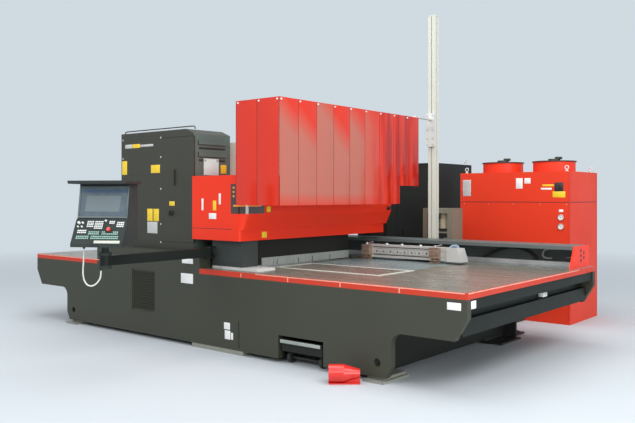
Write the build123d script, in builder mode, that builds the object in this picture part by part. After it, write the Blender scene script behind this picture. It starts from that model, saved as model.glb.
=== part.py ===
"""Sheet laser cutting machine: bed, table, bridge, guard, carriage, console, cabinets and chiller.

Millimetres, +Z up. X runs along the operator's side of the bed, Y runs away from the operator,
and the origin is on the floor at the centre of the four corner anchor holes.
"""
import os
from math import cos, radians, sin, tan

from build123d import *

# Driving dimensions of the whole machine
bed_length = 5900.0
bed_depth = 2700.0
table_height = 775.0
bridge_clearance = 281.0
cover_height = 629.0
guard_top_height = 2375.0
mast_height = 3610.0

# Fits and cuts
running_gap = 0.3
pin_clearance = 0.05
door_gap = 3.0
hinge_radius = 7.0
hinge_length = 90.0
hinge_shares = (0.12, 0.5, 0.88)
cut_overrun = 20.0

# Bed panels
panel_thickness = 60.0
floor_gap = 40.0
leg_inset = 664.0
leg_chamfer_width = 50.0
leg_chamfer_height = 95.0
arch_height = 410.0
arch_radius = 95.0
slant_width = 105.0
slant_rise = 174.0
leg_hole_radius = 33.0
leg_hole_inset = 134.0
leg_hole_height = 157.0
seam_slot_x = 587.0
seam_slot_width = 8.0
seam_slot_bottom = 62.0
seam_slot_height = 253.0
vent_x = -845.0
vent_width = 390.0
vent_top_drop = 15.0
vent_height = 440.0
vent_rim = 18.0
vent_slat_count = 14
vent_slat_thickness = 6.0
vent_slat_share = 0.7

# Cross walls and end frames
cross_wall_thickness = 50.0
cross_wall_inset = 186.0
end_beam_thickness = 70.0
end_beam_bottom = 436.0
end_beam_height = 127.0
end_beam_recess = 60.0
end_panel_thickness = 20.0
end_panel_height = 85.0
end_setback = 12.0

# Feet
pad_width = 200.0
pad_reach = 45.0
pad_length = 375.0
pad_thickness = 18.0
pad_step_front = 75.0
pad_step_side = 30.0
rear_pad_margin = 40.0
outrigger_reach = 180.0
outrigger_length = 460.0
outrigger_setback = 270.0
rib_reach = 134.0
rib_thickness = 25.0
rib_bolt_radius = 14.0
rib_bolt_height = 9.0
anchor_inset = 146.0
anchor_offset = 22.0
anchor_radius = 7.0
skid_x = 285.0
skid_width = 710.0
skid_depth = 195.0

# Table
table_thickness = 50.0
strip_thickness = 12.0
strip_length = 535.0
strip_joint = 3.0
strip_end_setback = 243.0
housing_left = -1680.0
housing_right = 40.0
housing_depth = 600.0
housing_height = 155.0
housing_wall = 20.0

# Chute door in the table
chute_left = 550.0
chute_length = 1200.0
chute_front = -750.0
chute_width = 500.0
chute_rim_width = 40.0
chute_rim_thickness = 4.0
chute_door_thickness = 15.0
chute_door_drop = 2.0
chute_pin_radius = 8.0
chute_pin_length = 20.0
chute_knuckle_radius = 12.0
chute_well_depth = 330.0

# Collecting cart
cart_left = 1085.0
cart_tunnel_width = 515.0
cart_tunnel_height = 210.0
cart_side_gap = 25.0
cart_front_setback = 20.0
cart_length = 680.0
cart_wall = 5.0
cart_floor_height = 112.0
cart_tray_height = 108.0
cart_handle_radius = 9.0
cart_handle_reach = 15.0
cart_handle_drop = 30.0
cart_wheel_radius = 50.0
cart_wheel_width = 28.0
cart_axle_radius = 9.0
cart_axle_inset = 80.0
cart_hanger_thickness = 8.0
cart_hanger_width = 44.0
cart_hanger_inset = 70.0
cart_wheel_gap = 2.0

# Laser cabinet
cabinet_left = -1365.0
cabinet_width = 1205.0
cabinet_front_setback = 100.0
cabinet_depth = 504.0
cabinet_height = 1240.0
cabinet_wall = 14.0
cabinet_door_width = 486.0
cabinet_door_thickness = 22.0
cabinet_door_bottom = 80.0
cabinet_door_top_drop = 75.0
cabinet_handle_inset = 300.0
cabinet_handle_width = 22.0
cabinet_handle_height = 750.0
cabinet_handle_length = 160.0
cabinet_handle_depth = 18.0
cabinet_chamfer_width = 123.0
cabinet_chamfer_drop = 50.0
cabinet_louvre_width = 388.0
cabinet_louvre_height = 41.0
cabinet_louvre_drops = (138.0, 262.0)
cabinet_louvre_reach = 14.0
switch_hub_radius = 26.0
switch_hub_depth = 18.0
switch_grip_width = 14.0
switch_grip_depth = 22.0
switch_gap = 1.0
switch_spindle_radius = 6.0
switch_spindle_length = 10.0
cabinet_switch_inset = 345.0
cabinet_switch_height = 379.0
tube_radius = 38.0
tube_block_length = 90.0
tube_block_width = 300.0
tube_block_height = 380.0
tube_bench_height = 320.0
tube_spread = 170.0
tube_side_gap = 40.0
duct_left = -300.0
duct_right = 150.0
duct_depth = 230.0
duct_height = 365.0

# Bridge
column_left = 80.0
column_right = 500.0
column_setback = 135.0
column_depth = 210.0
column_foot_left = 240.0
column_foot_right = 710.0
column_foot_margin = 20.0
column_foot_thickness = 25.0
beam_left = -40.0
beam_width = 220.0
beam_height = 450.0
beam_wall = 25.0
beam_rear_reach = 350.0
rear_column_gap = 20.0
hanger_length = 60.0
hanger_offset = 900.0
cover_left = -135.0
cover_right = 600.0
cover_front_setback = 60.0
cover_rear_setback = 180.0
cover_wall = 5.0
cover_corner = 90.0
cover_back_corner = 20.0
skirt_height = 111.0
skirt_inset = 65.0
taper_inset = 40.0
taper_height = 136.0
beam_port_margin = 10.0
guard_wall_face = 430.0
guard_wall_thickness = 6.0
guard_wall_gap = 25.0
guard_wall_rear = 550.0
sheet_skirt_thickness = 4.0
sheet_skirt_height = 83.0
sheet_skirt_gap = 12.0
sheet_skirt_front = -880.0
sheet_skirt_notch = 6.0
sheet_skirt_notch_shares = (0.12, 0.34, 0.47)
sheet_skirt_notch_depth_share = 0.7

# Cross rails, cross carriage and cutting head
rail_width = 40.0
rail_depth = 25.0
rail_low = 1230.0
rail_high = 1480.0
cross_rail_front_inset = 100.0
cross_rail_rear_inset = 560.0
head_y = -150.0
saddle_length = 300.0
saddle_thickness = 25.0
saddle_margin = 40.0
saddle_lip = 15.0
slide_width = 200.0
slide_thickness = 50.0
slide_key_width = 60.0
slide_key_depth = 10.0
head_offset = 50.0
head_radius = 45.0
head_bottom = 1075.0
head_length = 330.0
nozzle_tip_height = 985.0
nozzle_tip_radius = 9.0
motor_radius = 42.0
motor_height = 90.0

# Strip guard
guard_left = 530.0
guard_right = 1080.0
guard_front = -1330.0
guard_length = 2340.0
guard_tube = 40.0
guard_bottom_height = 1400.0
guard_short_height = 1600.0
guard_strip_count = 9
guard_notch_front = 620.0
guard_end_count = 2
guard_strip_thickness = 4.0
guard_strip_gap = 2.0
guard_post_x = 555.0
guard_post_ys = (-1000.0, 500.0)

# Mast and supply stand
mast_left = 1005.0
mast_size = 90.0
mast_slot_width = 12.0
mast_slot_depth = 14.0
bracket_drop = 310.0
bracket_height = 390.0
bracket_thickness = 32.0
bracket_margin = 6.0
bracket_arm_width = 40.0
bracket_arm_height = 20.0
stand_left = 880.0
stand_width = 397.0
stand_depth = 240.0
stand_height = 1342.0
stand_left_wall = 60.0
stand_right_wall = 70.0
stand_top_bar = 60.0
stand_opening_bottom = 900.0
stand_shelf_height = 1050.0
stand_shelf_thickness = 14.0
filter_radius = 60.0
filter_height = 110.0
filter_cap_radius = 48.0
filter_cap_height = 70.0
bottle_radius = 36.0
bottle_height = 90.0
filter_x_share = 0.6
bottle_x_share = 0.72

# Long rail and its cover
long_rail_width = 60.0
long_rail_height = 45.0
long_rail_y = 1160.0
long_rail_end_inset = 150.0
rail_cover_front = 970.0
rail_cover_height = 215.0
rail_cover_sheet = 10.0
rail_cover_lip = 25.0
rail_cover_left_inset = 100.0
rail_cover_right_inset = 80.0
rail_end_thickness = 20.0
rail_end_toe = 120.0

# Sheet carriage
carriage_left = 596.0
carriage_length = 1077.0
carriage_front = 640.0
carriage_depth = 120.0
carriage_bottom_gap = 25.0
carriage_height = 140.0
carriage_slot_width = 10.0
carriage_slot_depth = 9.0
carriage_slot_shares = (0.28, 0.72)
end_block_length = 170.0
end_block_slant = 45.0
end_block_reach = 40.0
carriage_saddle_length = 500.0
carriage_saddle_depth = 160.0
carriage_saddle_height = 80.0
carriage_saddle_offset = 380.0
carriage_lip = 15.0
carriage_lip_depth = 30.0
carriage_arm_thickness = 30.0
clamp_width = 104.0
clamp_offsets = (0.0, 880.0)
clamp_depth = 40.0
clamp_reach = 60.0
clamp_floor_gap = 2.0
jaw_thickness = 10.0
jaw_opening = 14.0
jaw_stem_radius = 9.0
jaw_stem_length = 60.0
jaw_side_margin = 6.0
lever_hub_radius = 14.0
lever_hub_height = 22.0
lever_spindle_radius = 5.0
lever_spindle_depth = 15.0
lever_length = 85.0
lever_radius = 6.0
lever_rise = 22.0

# Console arm
pivot_x = 90.0
pivot_gap = 70.0
pivot_radius = 18.0
pivot_ear_thickness = 14.0
pivot_ear_radius = 36.0
arm_rise = 115.0
arm_height = 84.0
arm_width = 96.0
arm_reach = 1175.0
arm_post_radius = 30.0
arm_collar_radius = 53.0
arm_collar_height = 29.0

# Console
console_turn_degrees = 30.0
console_width = 460.0
console_rise = 165.0
console_height = 545.0
console_back = 150.0
console_lip_reach = 175.0
console_lip_height = 28.0
console_key_top = 235.0
console_key_setback = 62.0
console_screen_setback = 0.0
console_screen_start = 48.0
console_screen_top = 520.0
screen_width = 415.0
screen_height = 245.0
screen_thickness = 8.0
screen_sink = 2.0
screen_lift = 22.0
visor_width = 520.0
visor_thickness = 15.0
visor_front_reach = 165.0
visor_back_reach = 160.0
stop_radius = 17.0
stop_height = 22.0
stop_stem_radius = 7.0
stop_stem_length = 18.0
stop_travel = 6.0
stop_x_share = 0.2
stop_slope_share = 0.55
gland_radius = 11.0

# Console cord, with its heights from the underside of the arm
cord_radius = 6.5
cord_points = [
    (-205.0, 20.0, 140.0),
    (-205.0, 20.0, 70.0),
    (-211.0, 19.0, -5.0),
    (-213.0, 17.0, -78.0),
    (-200.0, 15.0, -138.0),
    (-170.0, 13.0, -176.0),
    (-126.0, 10.0, -184.0),
    (-84.0, 6.0, -162.0),
    (-51.0, 2.0, -124.0),
    (-38.0, 0.0, -84.0),
]
cord_end = (-38.0, 0.0, -45.0)

# Foot switch
foot_inset = 419.0
foot_setback = 263.0
foot_turn_degrees = 39.5
hood_radius = 72.0
hood_length = 120.0
hood_wall = 5.0
hood_sink = 4.0
neck_radius = 34.0
neck_length = 130.0
foot_base_thickness = 10.0
foot_base_width = 96.0
foot_pedal_width = 60.0
foot_pedal_length = 92.0
foot_pedal_thickness = 10.0
foot_pedal_height = 46.0
foot_pin_reach = 60.0
foot_pin_radius = 5.0

# Control cabinet
control_left = -600.0
control_width = 1200.0
control_front = 2200.0
control_depth = 1000.0
control_height = 1920.0
control_wall = 14.0
control_door_thickness = 22.0
control_plinth_height = 110.0
control_handle_width = 30.0
control_handle_length = 160.0
control_handle_depth = 18.0
control_handle_inset = 60.0

# Chiller
chiller_left = 975.0
chiller_width = 1405.0
chiller_front = 2190.0
chiller_depth = 906.0
chiller_height = 1773.0
chiller_wall = 14.0
chiller_seam_height = 1411.0
chiller_seam_depth = 4.0
chiller_seam_width = 6.0
fan_spacing = 672.0
fan_radius = 235.0
fan_shroud_wall = 15.0
fan_shroud_height = 130.0
fan_tip_gap = 20.0
fan_hub_radius = 62.0
fan_hub_height = 60.0
fan_blade_count = 5
fan_blade_width = 110.0
fan_blade_thickness = 8.0
fan_blade_pitch_degrees = 28.0
fan_spider_height = 14.0
fan_spider_width = 26.0
fan_shaft_radius = 12.0
fan_seat = 30.0
chiller_switch_x_inset = 130.0
chiller_switch_drop = 183.0
duct_run_width = 160.0
duct_run_height = 90.0
coolant_duct_x = 1750.0
cable_duct_x = 90.0

# Worked out from the sizes above
bed_left, bed_right = -bed_length / 2, bed_length / 2
bed_front, bed_rear = -bed_depth / 2, bed_depth / 2
table_under = table_height - table_thickness
leg_outer = bed_length / 2 - leg_inset
wall_outer = leg_outer - cross_wall_inset
anchor_x = leg_outer - anchor_inset
foot_x = leg_outer - foot_inset
foot_y = bed_front - foot_setback
vent_bottom = table_under - vent_top_drop - vent_height
bracket_bottom = guard_top_height - bracket_drop
arm_bottom = table_height + arm_rise
console_bottom = arm_bottom + console_rise
inner_y = (bed_front + panel_thickness, bed_rear - panel_thickness)
housing_top = table_height + housing_height
cover_bottom = table_height + bridge_clearance
cover_top = cover_bottom + cover_height
upper_bottom = cover_bottom + skirt_height
cover_front = bed_front + cover_front_setback
cover_rear = bed_rear - cover_rear_setback
beam_bottom = upper_bottom
beam_top = beam_bottom + beam_height
beam_right = beam_left + beam_width
beam_front = bed_front + column_setback
beam_rear = bed_rear + beam_rear_reach
chute_right = chute_left + chute_length
chute_rear = chute_front + chute_width
cart_right = cart_left + cart_tunnel_width


def span(start, size):
    """The pair of limits of a size that begins at a start."""
    return (start, start + size)


def around(middle, size):
    """The pair of limits of a size centred on a middle."""
    return (middle - size / 2, middle + size / 2)


def block(x, y, z, mode=Mode.ADD):
    """Put a block between three pairs of limits into the part in hand."""
    with Locations((sum(x) / 2, sum(y) / 2, sum(z) / 2)):
        return Box(x[1] - x[0], y[1] - y[0], z[1] - z[0], mode=mode)


def rod(start, axis, radius, length, mode=Mode.ADD, tip_radius=None):
    """Put a round bar, or a taper with a tip radius, that begins at a point into the part in hand."""
    with Locations(Plane(start, z_dir=axis)):
        if tip_radius is None:
            Cylinder(radius, length, align=(Align.CENTER, Align.CENTER, Align.MIN), mode=mode)
        else:
            Cone(radius, tip_radius, length, align=(Align.CENTER, Align.CENTER, Align.MIN), mode=mode)


def hinge_barrels(x, y, limits):
    """Put upright hinge barrels on one line along a door's height into the part in hand."""
    for share in hinge_shares:
        middle = limits[0] + share * (limits[1] - limits[0])
        rod((x, y, middle - hinge_length / 2), (0, 0, 1), hinge_radius, hinge_length)


def finish(builder, label):
    """Label a finished part and write it to its own file."""
    builder.part.label = label
    export_step(builder.part, f"parts/{label}.step")


os.makedirs("parts", exist_ok=True)


# Bed: front and rear panels
def panel_outline(leg, with_cart):
    """The corner points of a long bed panel, from its top left corner round its underside."""
    slant_top = arch_height + slant_rise
    leg_foot = leg - leg_chamfer_width
    chamfer_top = floor_gap + leg_chamfer_height
    points = [
        (bed_left, table_under),
        (bed_left, slant_top),
        (bed_left + slant_width, arch_height),
        (-leg, arch_height),
        (-leg, chamfer_top),
        (-leg_foot, floor_gap),
    ]
    if with_cart:
        points += [
            (cart_left, floor_gap),
            (cart_left, floor_gap + cart_tunnel_height),
            (cart_right, floor_gap + cart_tunnel_height),
            (cart_right, floor_gap),
        ]
    points += [
        (leg_foot, floor_gap),
        (leg, chamfer_top),
        (leg, arch_height),
        (bed_right - slant_width, arch_height),
        (bed_right, slant_top),
        (bed_right, table_under),
    ]
    return points


def arch_corners(outline, leg):
    """The two inside corners where a leg meets the overhang."""
    level = outline.vertices().filter_by(lambda corner: abs(corner.Y - arch_height) < pin_clearance)
    return level.filter_by(lambda corner: abs(abs(corner.X) - leg) < pin_clearance)


with BuildPart() as front_panel:
    with BuildSketch(Plane.XZ.offset(-bed_front)) as front_outline:
        with BuildLine():
            Polyline(*panel_outline(leg_outer, True), close=True)
        make_face()
        fillet(arch_corners(front_outline, leg_outer), arch_radius)
        with Locations((vent_x, vent_bottom + vent_height / 2)):
            Rectangle(vent_width, vent_height, mode=Mode.SUBTRACT)
        with Locations((seam_slot_x, seam_slot_bottom + seam_slot_height / 2)):
            Rectangle(seam_slot_width, seam_slot_height, mode=Mode.SUBTRACT)
        hole_x = leg_outer - leg_hole_inset
        with Locations((-hole_x, leg_hole_height), (hole_x, leg_hole_height)):
            Circle(leg_hole_radius, mode=Mode.SUBTRACT)
    extrude(amount=-panel_thickness)
finish(front_panel, "front_panel")

with BuildPart() as rear_panel:
    with BuildSketch(Plane.XZ.offset(-inner_y[1])) as rear_outline:
        with BuildLine():
            Polyline(*panel_outline(wall_outer, False), close=True)
        make_face()
        fillet(arch_corners(rear_outline, wall_outer), arch_radius)
    extrude(amount=-panel_thickness)
finish(rear_panel, "rear_panel")

# Vent: a rim with slats, set in the window of the front panel
with BuildPart() as vent_louvre:
    vent_limits_x = around(vent_x, vent_width)
    vent_limits_z = span(vent_bottom, vent_height)
    vent_inner_x = around(vent_x, vent_width - 2 * vent_rim)
    vent_inner_z = (vent_limits_z[0] + vent_rim, vent_limits_z[1] - vent_rim)
    vent_y = (bed_front + vent_rim / 2, inner_y[0])
    block(vent_limits_x, vent_y, vent_limits_z)
    block(vent_inner_x, (bed_front, inner_y[0] + cut_overrun), vent_inner_z, Mode.SUBTRACT)
    slat_pitch = (vent_inner_z[1] - vent_inner_z[0]) / vent_slat_count
    slat_depth = (vent_y[1] - vent_y[0]) * vent_slat_share
    for index in range(vent_slat_count):
        slat_z = vent_inner_z[0] + (index + 1 / 2) * slat_pitch
        block(vent_inner_x, (vent_y[1] - slat_depth, vent_y[1]), around(slat_z, vent_slat_thickness))
finish(vent_louvre, "vent_louvre")

# Cross walls between the two panels, notched where the chute drops into the cart
with BuildPart() as cross_walls:
    wall_starts = (
        -wall_outer,
        cart_left - cross_wall_thickness,
        cart_right,
        wall_outer - cross_wall_thickness,
    )
    for wall_start in wall_starts:
        block(span(wall_start, cross_wall_thickness), inner_y, (floor_gap, table_under))
    well_x = (chute_left - chute_rim_width, chute_right + chute_rim_width)
    well_y = (chute_front - chute_rim_width, chute_rear + chute_rim_width)
    block(well_x, well_y, (table_under - chute_well_depth, table_under + cut_overrun), Mode.SUBTRACT)
finish(cross_walls, "cross_walls")

# End frames under the two short edges of the table: an apron, and a beam set back below it on a web
with BuildPart() as end_frames:
    for side in (-1, 1):
        outer = side * (bed_right - end_setback)
        apron_inner = outer - side * end_panel_thickness
        beam_outer = outer - side * end_beam_recess
        beam_inner = beam_outer - side * end_beam_thickness
        web_outer = beam_inner + side * end_panel_thickness
        end_beam_z = span(end_beam_bottom, end_beam_height)
        block(sorted((beam_outer, beam_inner)), inner_y, end_beam_z)
        block(sorted((web_outer, beam_inner)), inner_y, (end_beam_z[1], table_under))
        block(sorted((outer, beam_inner)), inner_y, (table_under - end_panel_thickness, table_under))
        block(sorted((outer, apron_inner)), inner_y, (table_under - end_panel_height, table_under))
finish(end_frames, "end_frames")

# Feet: stepped corner pads with anchor holes, outriggers with a rib at the rear, skids under the bridge
with BuildPart() as foot_plates:
    pad_end = bed_rear + pad_reach
    pad_start = pad_end - pad_length
    anchor_y = bed_rear + anchor_offset
    outrigger_y = span(bed_rear - outrigger_setback - outrigger_length, outrigger_length)
    for side_x in (-1, 1):
        pad_inner = side_x * (anchor_x - pad_width / 2)
        for side_y, margin in ((-1, pad_width / 2), (1, rear_pad_margin)):
            pad_outer = side_x * (anchor_x + margin)
            lower_y = sorted((side_y * pad_end, side_y * pad_start))
            block(sorted((pad_inner, pad_outer)), lower_y, (0, pad_thickness))
            step_outer = pad_outer - side_x * pad_step_side
            upper_y = sorted((side_y * (pad_end - pad_step_front), side_y * pad_start))
            block(sorted((pad_inner, step_outer)), upper_y, (0, floor_gap))
            anchor = (side_x * anchor_x, side_y * anchor_y, 0)
            rod(anchor, (0, 0, 1), anchor_radius, pad_thickness, Mode.SUBTRACT)
        outrigger_x = sorted((pad_inner, side_x * (wall_outer + outrigger_reach)))
        block(outrigger_x, outrigger_y, (0, pad_thickness))
        block(sorted((pad_inner, side_x * wall_outer)), outrigger_y, (0, floor_gap))
        rib_x = sorted((side_x * wall_outer, side_x * (wall_outer + rib_reach)))
        rib_y = (outrigger_y[1] - rib_thickness, outrigger_y[1])
        block(rib_x, rib_y, (0, arch_height))
        bolt_foot = (side_x * (wall_outer + rib_reach / 2), sum(outrigger_y) / 2, pad_thickness)
        rod(bolt_foot, (0, 0, 1), rib_bolt_radius, rib_bolt_height)
    for side_y in (-1, 1):
        skid_y = sorted((side_y * bed_rear, side_y * (bed_rear - skid_depth)))
        block(around(skid_x, skid_width), skid_y, (0, floor_gap))
finish(foot_plates, "foot_plates")

# Table plates
with BuildPart() as table_right:
    table_y = (bed_front + strip_thickness, bed_rear)
    table_z = (table_under, table_height)
    block((housing_right, bed_right - strip_thickness), table_y, table_z)
    block((chute_left, chute_right), (chute_front, chute_rear), table_z, Mode.SUBTRACT)
    chute_pin_y = chute_rear - door_gap - chute_knuckle_radius
    chute_pin_z = table_height - chute_door_drop - chute_knuckle_radius
    for start_x, way in ((chute_left, -1), (chute_right, 1)):
        rod(
            (start_x, chute_pin_y, chute_pin_z),
            (way, 0, 0),
            chute_pin_radius + pin_clearance,
            chute_pin_length,
            Mode.SUBTRACT,
        )
finish(table_right, "table_right")

with BuildPart() as table_left:
    block((bed_left + strip_thickness, housing_left), table_y, table_z)
    block((housing_left, housing_right), (bed_front + housing_depth, bed_rear), table_z)
finish(table_left, "table_left")

# Edge strips round the table, in lengths with a small joint between them
with BuildPart() as edge_strips:
    strip_front_y = span(bed_front, strip_thickness)
    right_run = bed_right - housing_right
    right_count = max(1, round(right_run / strip_length))
    for index in range(right_count):
        piece_start = housing_right + index * right_run / right_count
        piece_end = housing_right + (index + 1) * right_run / right_count
        joint = strip_joint if index + 1 < right_count else 0
        block((piece_start, piece_end - joint), strip_front_y, table_z)
    block((bed_left, housing_left), strip_front_y, table_z)
    strip_side_y = (strip_front_y[1] + strip_joint, bed_rear - strip_end_setback)
    block((bed_right - strip_thickness, bed_right), strip_side_y, table_z)
    block((bed_left, bed_left + strip_thickness), strip_side_y, table_z)
finish(edge_strips, "edge_strips")

# Chute rim and the chute door that drops away under it
with BuildPart() as chute_frame:
    rim_z = span(table_height, chute_rim_thickness)
    block(well_x, well_y, rim_z)
    block((chute_left, chute_right), (chute_front, chute_rear), rim_z, Mode.SUBTRACT)
finish(chute_frame, "chute_frame")

with BuildPart() as chute_door:
    door_x = (chute_left + door_gap, chute_right - door_gap)
    door_top = table_height - chute_door_drop
    block(door_x, (chute_front + door_gap, chute_pin_y), (door_top - chute_door_thickness, door_top))
    rod((door_x[0], chute_pin_y, chute_pin_z), (1, 0, 0), chute_knuckle_radius, door_x[1] - door_x[0])
    pin_reach = chute_pin_length + door_gap - pin_clearance
    rod((door_x[0], chute_pin_y, chute_pin_z), (-1, 0, 0), chute_pin_radius, pin_reach)
    rod((door_x[1], chute_pin_y, chute_pin_z), (1, 0, 0), chute_pin_radius, pin_reach)
finish(chute_door, "chute_door")

# Collecting cart on two axles
cart_x = (cart_left + cart_side_gap, cart_right - cart_side_gap)
cart_y = span(bed_front + cart_front_setback, cart_length)
axle_ys = (cart_y[0] + cart_axle_inset, cart_y[1] - cart_axle_inset)
hanger_xs = (cart_x[0] + cart_hanger_inset, cart_x[1] - cart_hanger_inset)
with BuildPart() as cart_tray:
    tray_z = span(cart_floor_height, cart_tray_height)
    block(cart_x, cart_y, tray_z)
    tray_inner_x = (cart_x[0] + cart_wall, cart_x[1] - cart_wall)
    tray_inner_y = (cart_y[0] + cart_wall, cart_y[1] - cart_wall)
    block(tray_inner_x, tray_inner_y, (tray_z[0] + cart_wall, tray_z[1] + cut_overrun), Mode.SUBTRACT)
    handle_z = tray_z[1] - cart_handle_drop
    handle_y = cart_y[0] - cart_handle_reach
    handle_x = (cart_x[0] + cart_hanger_inset, cart_x[1] - cart_hanger_inset)
    rod((handle_x[0], handle_y, handle_z), (1, 0, 0), cart_handle_radius, handle_x[1] - handle_x[0])
    for stem_x in (handle_x[0] + cart_handle_radius, handle_x[1] - cart_handle_radius):
        rod((stem_x, handle_y, handle_z), (0, 1, 0), cart_handle_radius, cart_handle_reach + cart_wall)
    for axle_y in axle_ys:
        for hanger_x in hanger_xs:
            block(
                around(hanger_x, cart_hanger_thickness),
                around(axle_y, cart_hanger_width),
                (cart_wheel_radius - cart_hanger_width / 2, tray_z[0]),
            )
            rod(
                (hanger_x - cart_hanger_thickness, axle_y, cart_wheel_radius),
                (1, 0, 0),
                cart_axle_radius + pin_clearance,
                2 * cart_hanger_thickness,
                Mode.SUBTRACT,
            )
finish(cart_tray, "cart_tray")

for axle_y, axle_label in zip(axle_ys, ("cart_front_axle", "cart_rear_axle")):
    with BuildPart() as cart_axle:
        wheel_step = cart_hanger_thickness / 2 + cart_wheel_gap
        axle_start = hanger_xs[0] - wheel_step - cart_wheel_width
        axle_end = hanger_xs[1] + wheel_step + cart_wheel_width
        rod((axle_start, axle_y, cart_wheel_radius), (1, 0, 0), cart_axle_radius, axle_end - axle_start)
        for wheel_x in (axle_start, axle_end - cart_wheel_width):
            rod((wheel_x, axle_y, cart_wheel_radius), (1, 0, 0), cart_wheel_radius, cart_wheel_width)
    finish(cart_axle, axle_label)

# Housing in front of the bridge, which carries the laser cabinet
with BuildPart() as front_housing:
    housing_x = (housing_left, housing_right)
    housing_y = span(bed_front, housing_depth)
    block(housing_x, housing_y, (table_under, housing_top))
    block(
        (housing_x[0] + housing_wall, housing_x[1] - housing_wall),
        (housing_y[0] + housing_wall, housing_y[1] - housing_wall),
        (table_under - cut_overrun, housing_top - housing_wall),
        Mode.SUBTRACT,
    )
finish(front_housing, "front_housing")

# Laser cabinet: shell, door, rotary switch, tubes and the duct to the bridge
cabinet_x = span(cabinet_left, cabinet_width)
cabinet_y = span(bed_front + cabinet_front_setback, cabinet_depth)
cabinet_z = span(housing_top, cabinet_height)
cabinet_door_x = (cabinet_x[1] - cabinet_door_width, cabinet_x[1])
cabinet_door_z = (cabinet_z[0] + cabinet_door_bottom, cabinet_z[1] - cabinet_door_top_drop)
with BuildPart() as laser_cabinet:
    block(cabinet_x, cabinet_y, cabinet_z)
    block(
        (cabinet_x[0] + cabinet_wall, cabinet_x[1] - cabinet_wall),
        (cabinet_y[0] + cabinet_wall, cabinet_y[1] - cabinet_wall),
        (cabinet_z[0] + cabinet_wall, cabinet_z[1] - cabinet_chamfer_drop - cabinet_wall),
        Mode.SUBTRACT,
    )
    block(
        (cabinet_door_x[0], cabinet_door_x[1] + cut_overrun),
        (cabinet_y[0] - cut_overrun, cabinet_y[0] + cabinet_door_thickness + running_gap),
        cabinet_door_z,
        Mode.SUBTRACT,
    )
    with BuildSketch(Plane.XZ.offset(-cabinet_y[0])):
        with BuildLine():
            Polyline(
                (cabinet_x[1], cabinet_z[1]),
                (cabinet_x[1] - cabinet_chamfer_width, cabinet_z[1]),
                (cabinet_x[1], cabinet_z[1] - cabinet_chamfer_drop),
                close=True,
            )
        make_face()
    extrude(amount=-cabinet_depth, mode=Mode.SUBTRACT)
    for drop in cabinet_louvre_drops:
        louvre_y = around(sum(cabinet_y) / 2, cabinet_louvre_width)
        louvre_z = around(cabinet_z[1] - drop, cabinet_louvre_height)
        block(span(cabinet_x[1], cabinet_louvre_reach), louvre_y, louvre_z)
        slot_z = (louvre_z[0] - cut_overrun, louvre_z[1] - cabinet_louvre_height / 2)
        slot_y = around(sum(louvre_y) / 2, cabinet_louvre_width - cabinet_louvre_height)
        slot_x = (cabinet_x[1], cabinet_x[1] + cabinet_louvre_reach / 2)
        block(slot_x, slot_y, slot_z, Mode.SUBTRACT)
finish(laser_cabinet, "laser_cabinet")

cabinet_switch_x = cabinet_x[1] - cabinet_switch_inset
cabinet_switch_z = cabinet_z[0] + cabinet_switch_height
with BuildPart() as laser_door:
    leaf_x = (cabinet_door_x[0] + door_gap, cabinet_door_x[1])
    leaf_z = (cabinet_door_z[0] + door_gap, cabinet_door_z[1] - door_gap)
    block(leaf_x, span(cabinet_y[0], cabinet_door_thickness), leaf_z)
    hinge_barrels(leaf_x[1], cabinet_y[0], leaf_z)
    grip_x = around(cabinet_x[1] - cabinet_handle_inset, cabinet_handle_width)
    grip_y = (cabinet_y[0] - cabinet_handle_depth, cabinet_y[0])
    block(grip_x, grip_y, around(cabinet_z[0] + cabinet_handle_height, cabinet_handle_length))
    rod(
        (cabinet_switch_x, cabinet_y[0], cabinet_switch_z),
        (0, 1, 0),
        switch_spindle_radius + pin_clearance,
        switch_spindle_length + pin_clearance,
        Mode.SUBTRACT,
    )
finish(laser_door, "laser_door")


def rotary_switch(face_x, face_y, face_z, label):
    """A rotary switch knob in front of a panel, with its spindle in the panel's hole."""
    with BuildPart() as knob:
        hub_y = face_y - switch_gap
        rod((face_x, hub_y, face_z), (0, -1, 0), switch_hub_radius, switch_hub_depth)
        grip_y = (hub_y - switch_hub_depth - switch_grip_depth, hub_y - switch_hub_depth)
        block(around(face_x, switch_grip_width), grip_y, around(face_z, 2 * switch_hub_radius))
        rod((face_x, hub_y, face_z), (0, 1, 0), switch_spindle_radius, switch_spindle_length + switch_gap)
    finish(knob, label)


rotary_switch(cabinet_switch_x, cabinet_y[0], cabinet_switch_z, "laser_switch")

with BuildPart() as laser_tubes:
    tube_x = (cabinet_x[0] + cabinet_wall + tube_side_gap, cabinet_door_x[0] - tube_side_gap)
    tube_y = around(sum(cabinet_y) / 2, tube_block_width)
    tube_z = span(cabinet_z[0] + cabinet_wall, tube_bench_height)
    block(tube_x, tube_y, tube_z)
    for block_x in (span(tube_x[0], tube_block_length), (tube_x[1] - tube_block_length, tube_x[1])):
        block(block_x, tube_y, span(tube_z[1], tube_block_height))
    for step in (-1, 1):
        tube_centre = sum(tube_y) / 2 + step * tube_spread / 2
        for tube_row_share in (1 / 4, 3 / 4):
            centre_z = tube_z[1] + tube_row_share * tube_block_height
            rod((tube_x[0], tube_centre, centre_z), (1, 0, 0), tube_radius, tube_x[1] - tube_x[0])
finish(laser_tubes, "laser_tubes")

with BuildPart() as beam_duct:
    duct_limits_y = span(cabinet_y[1], duct_depth)
    block((duct_left, duct_right), duct_limits_y, span(cover_top, duct_height))
finish(beam_duct, "beam_duct")

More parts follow.
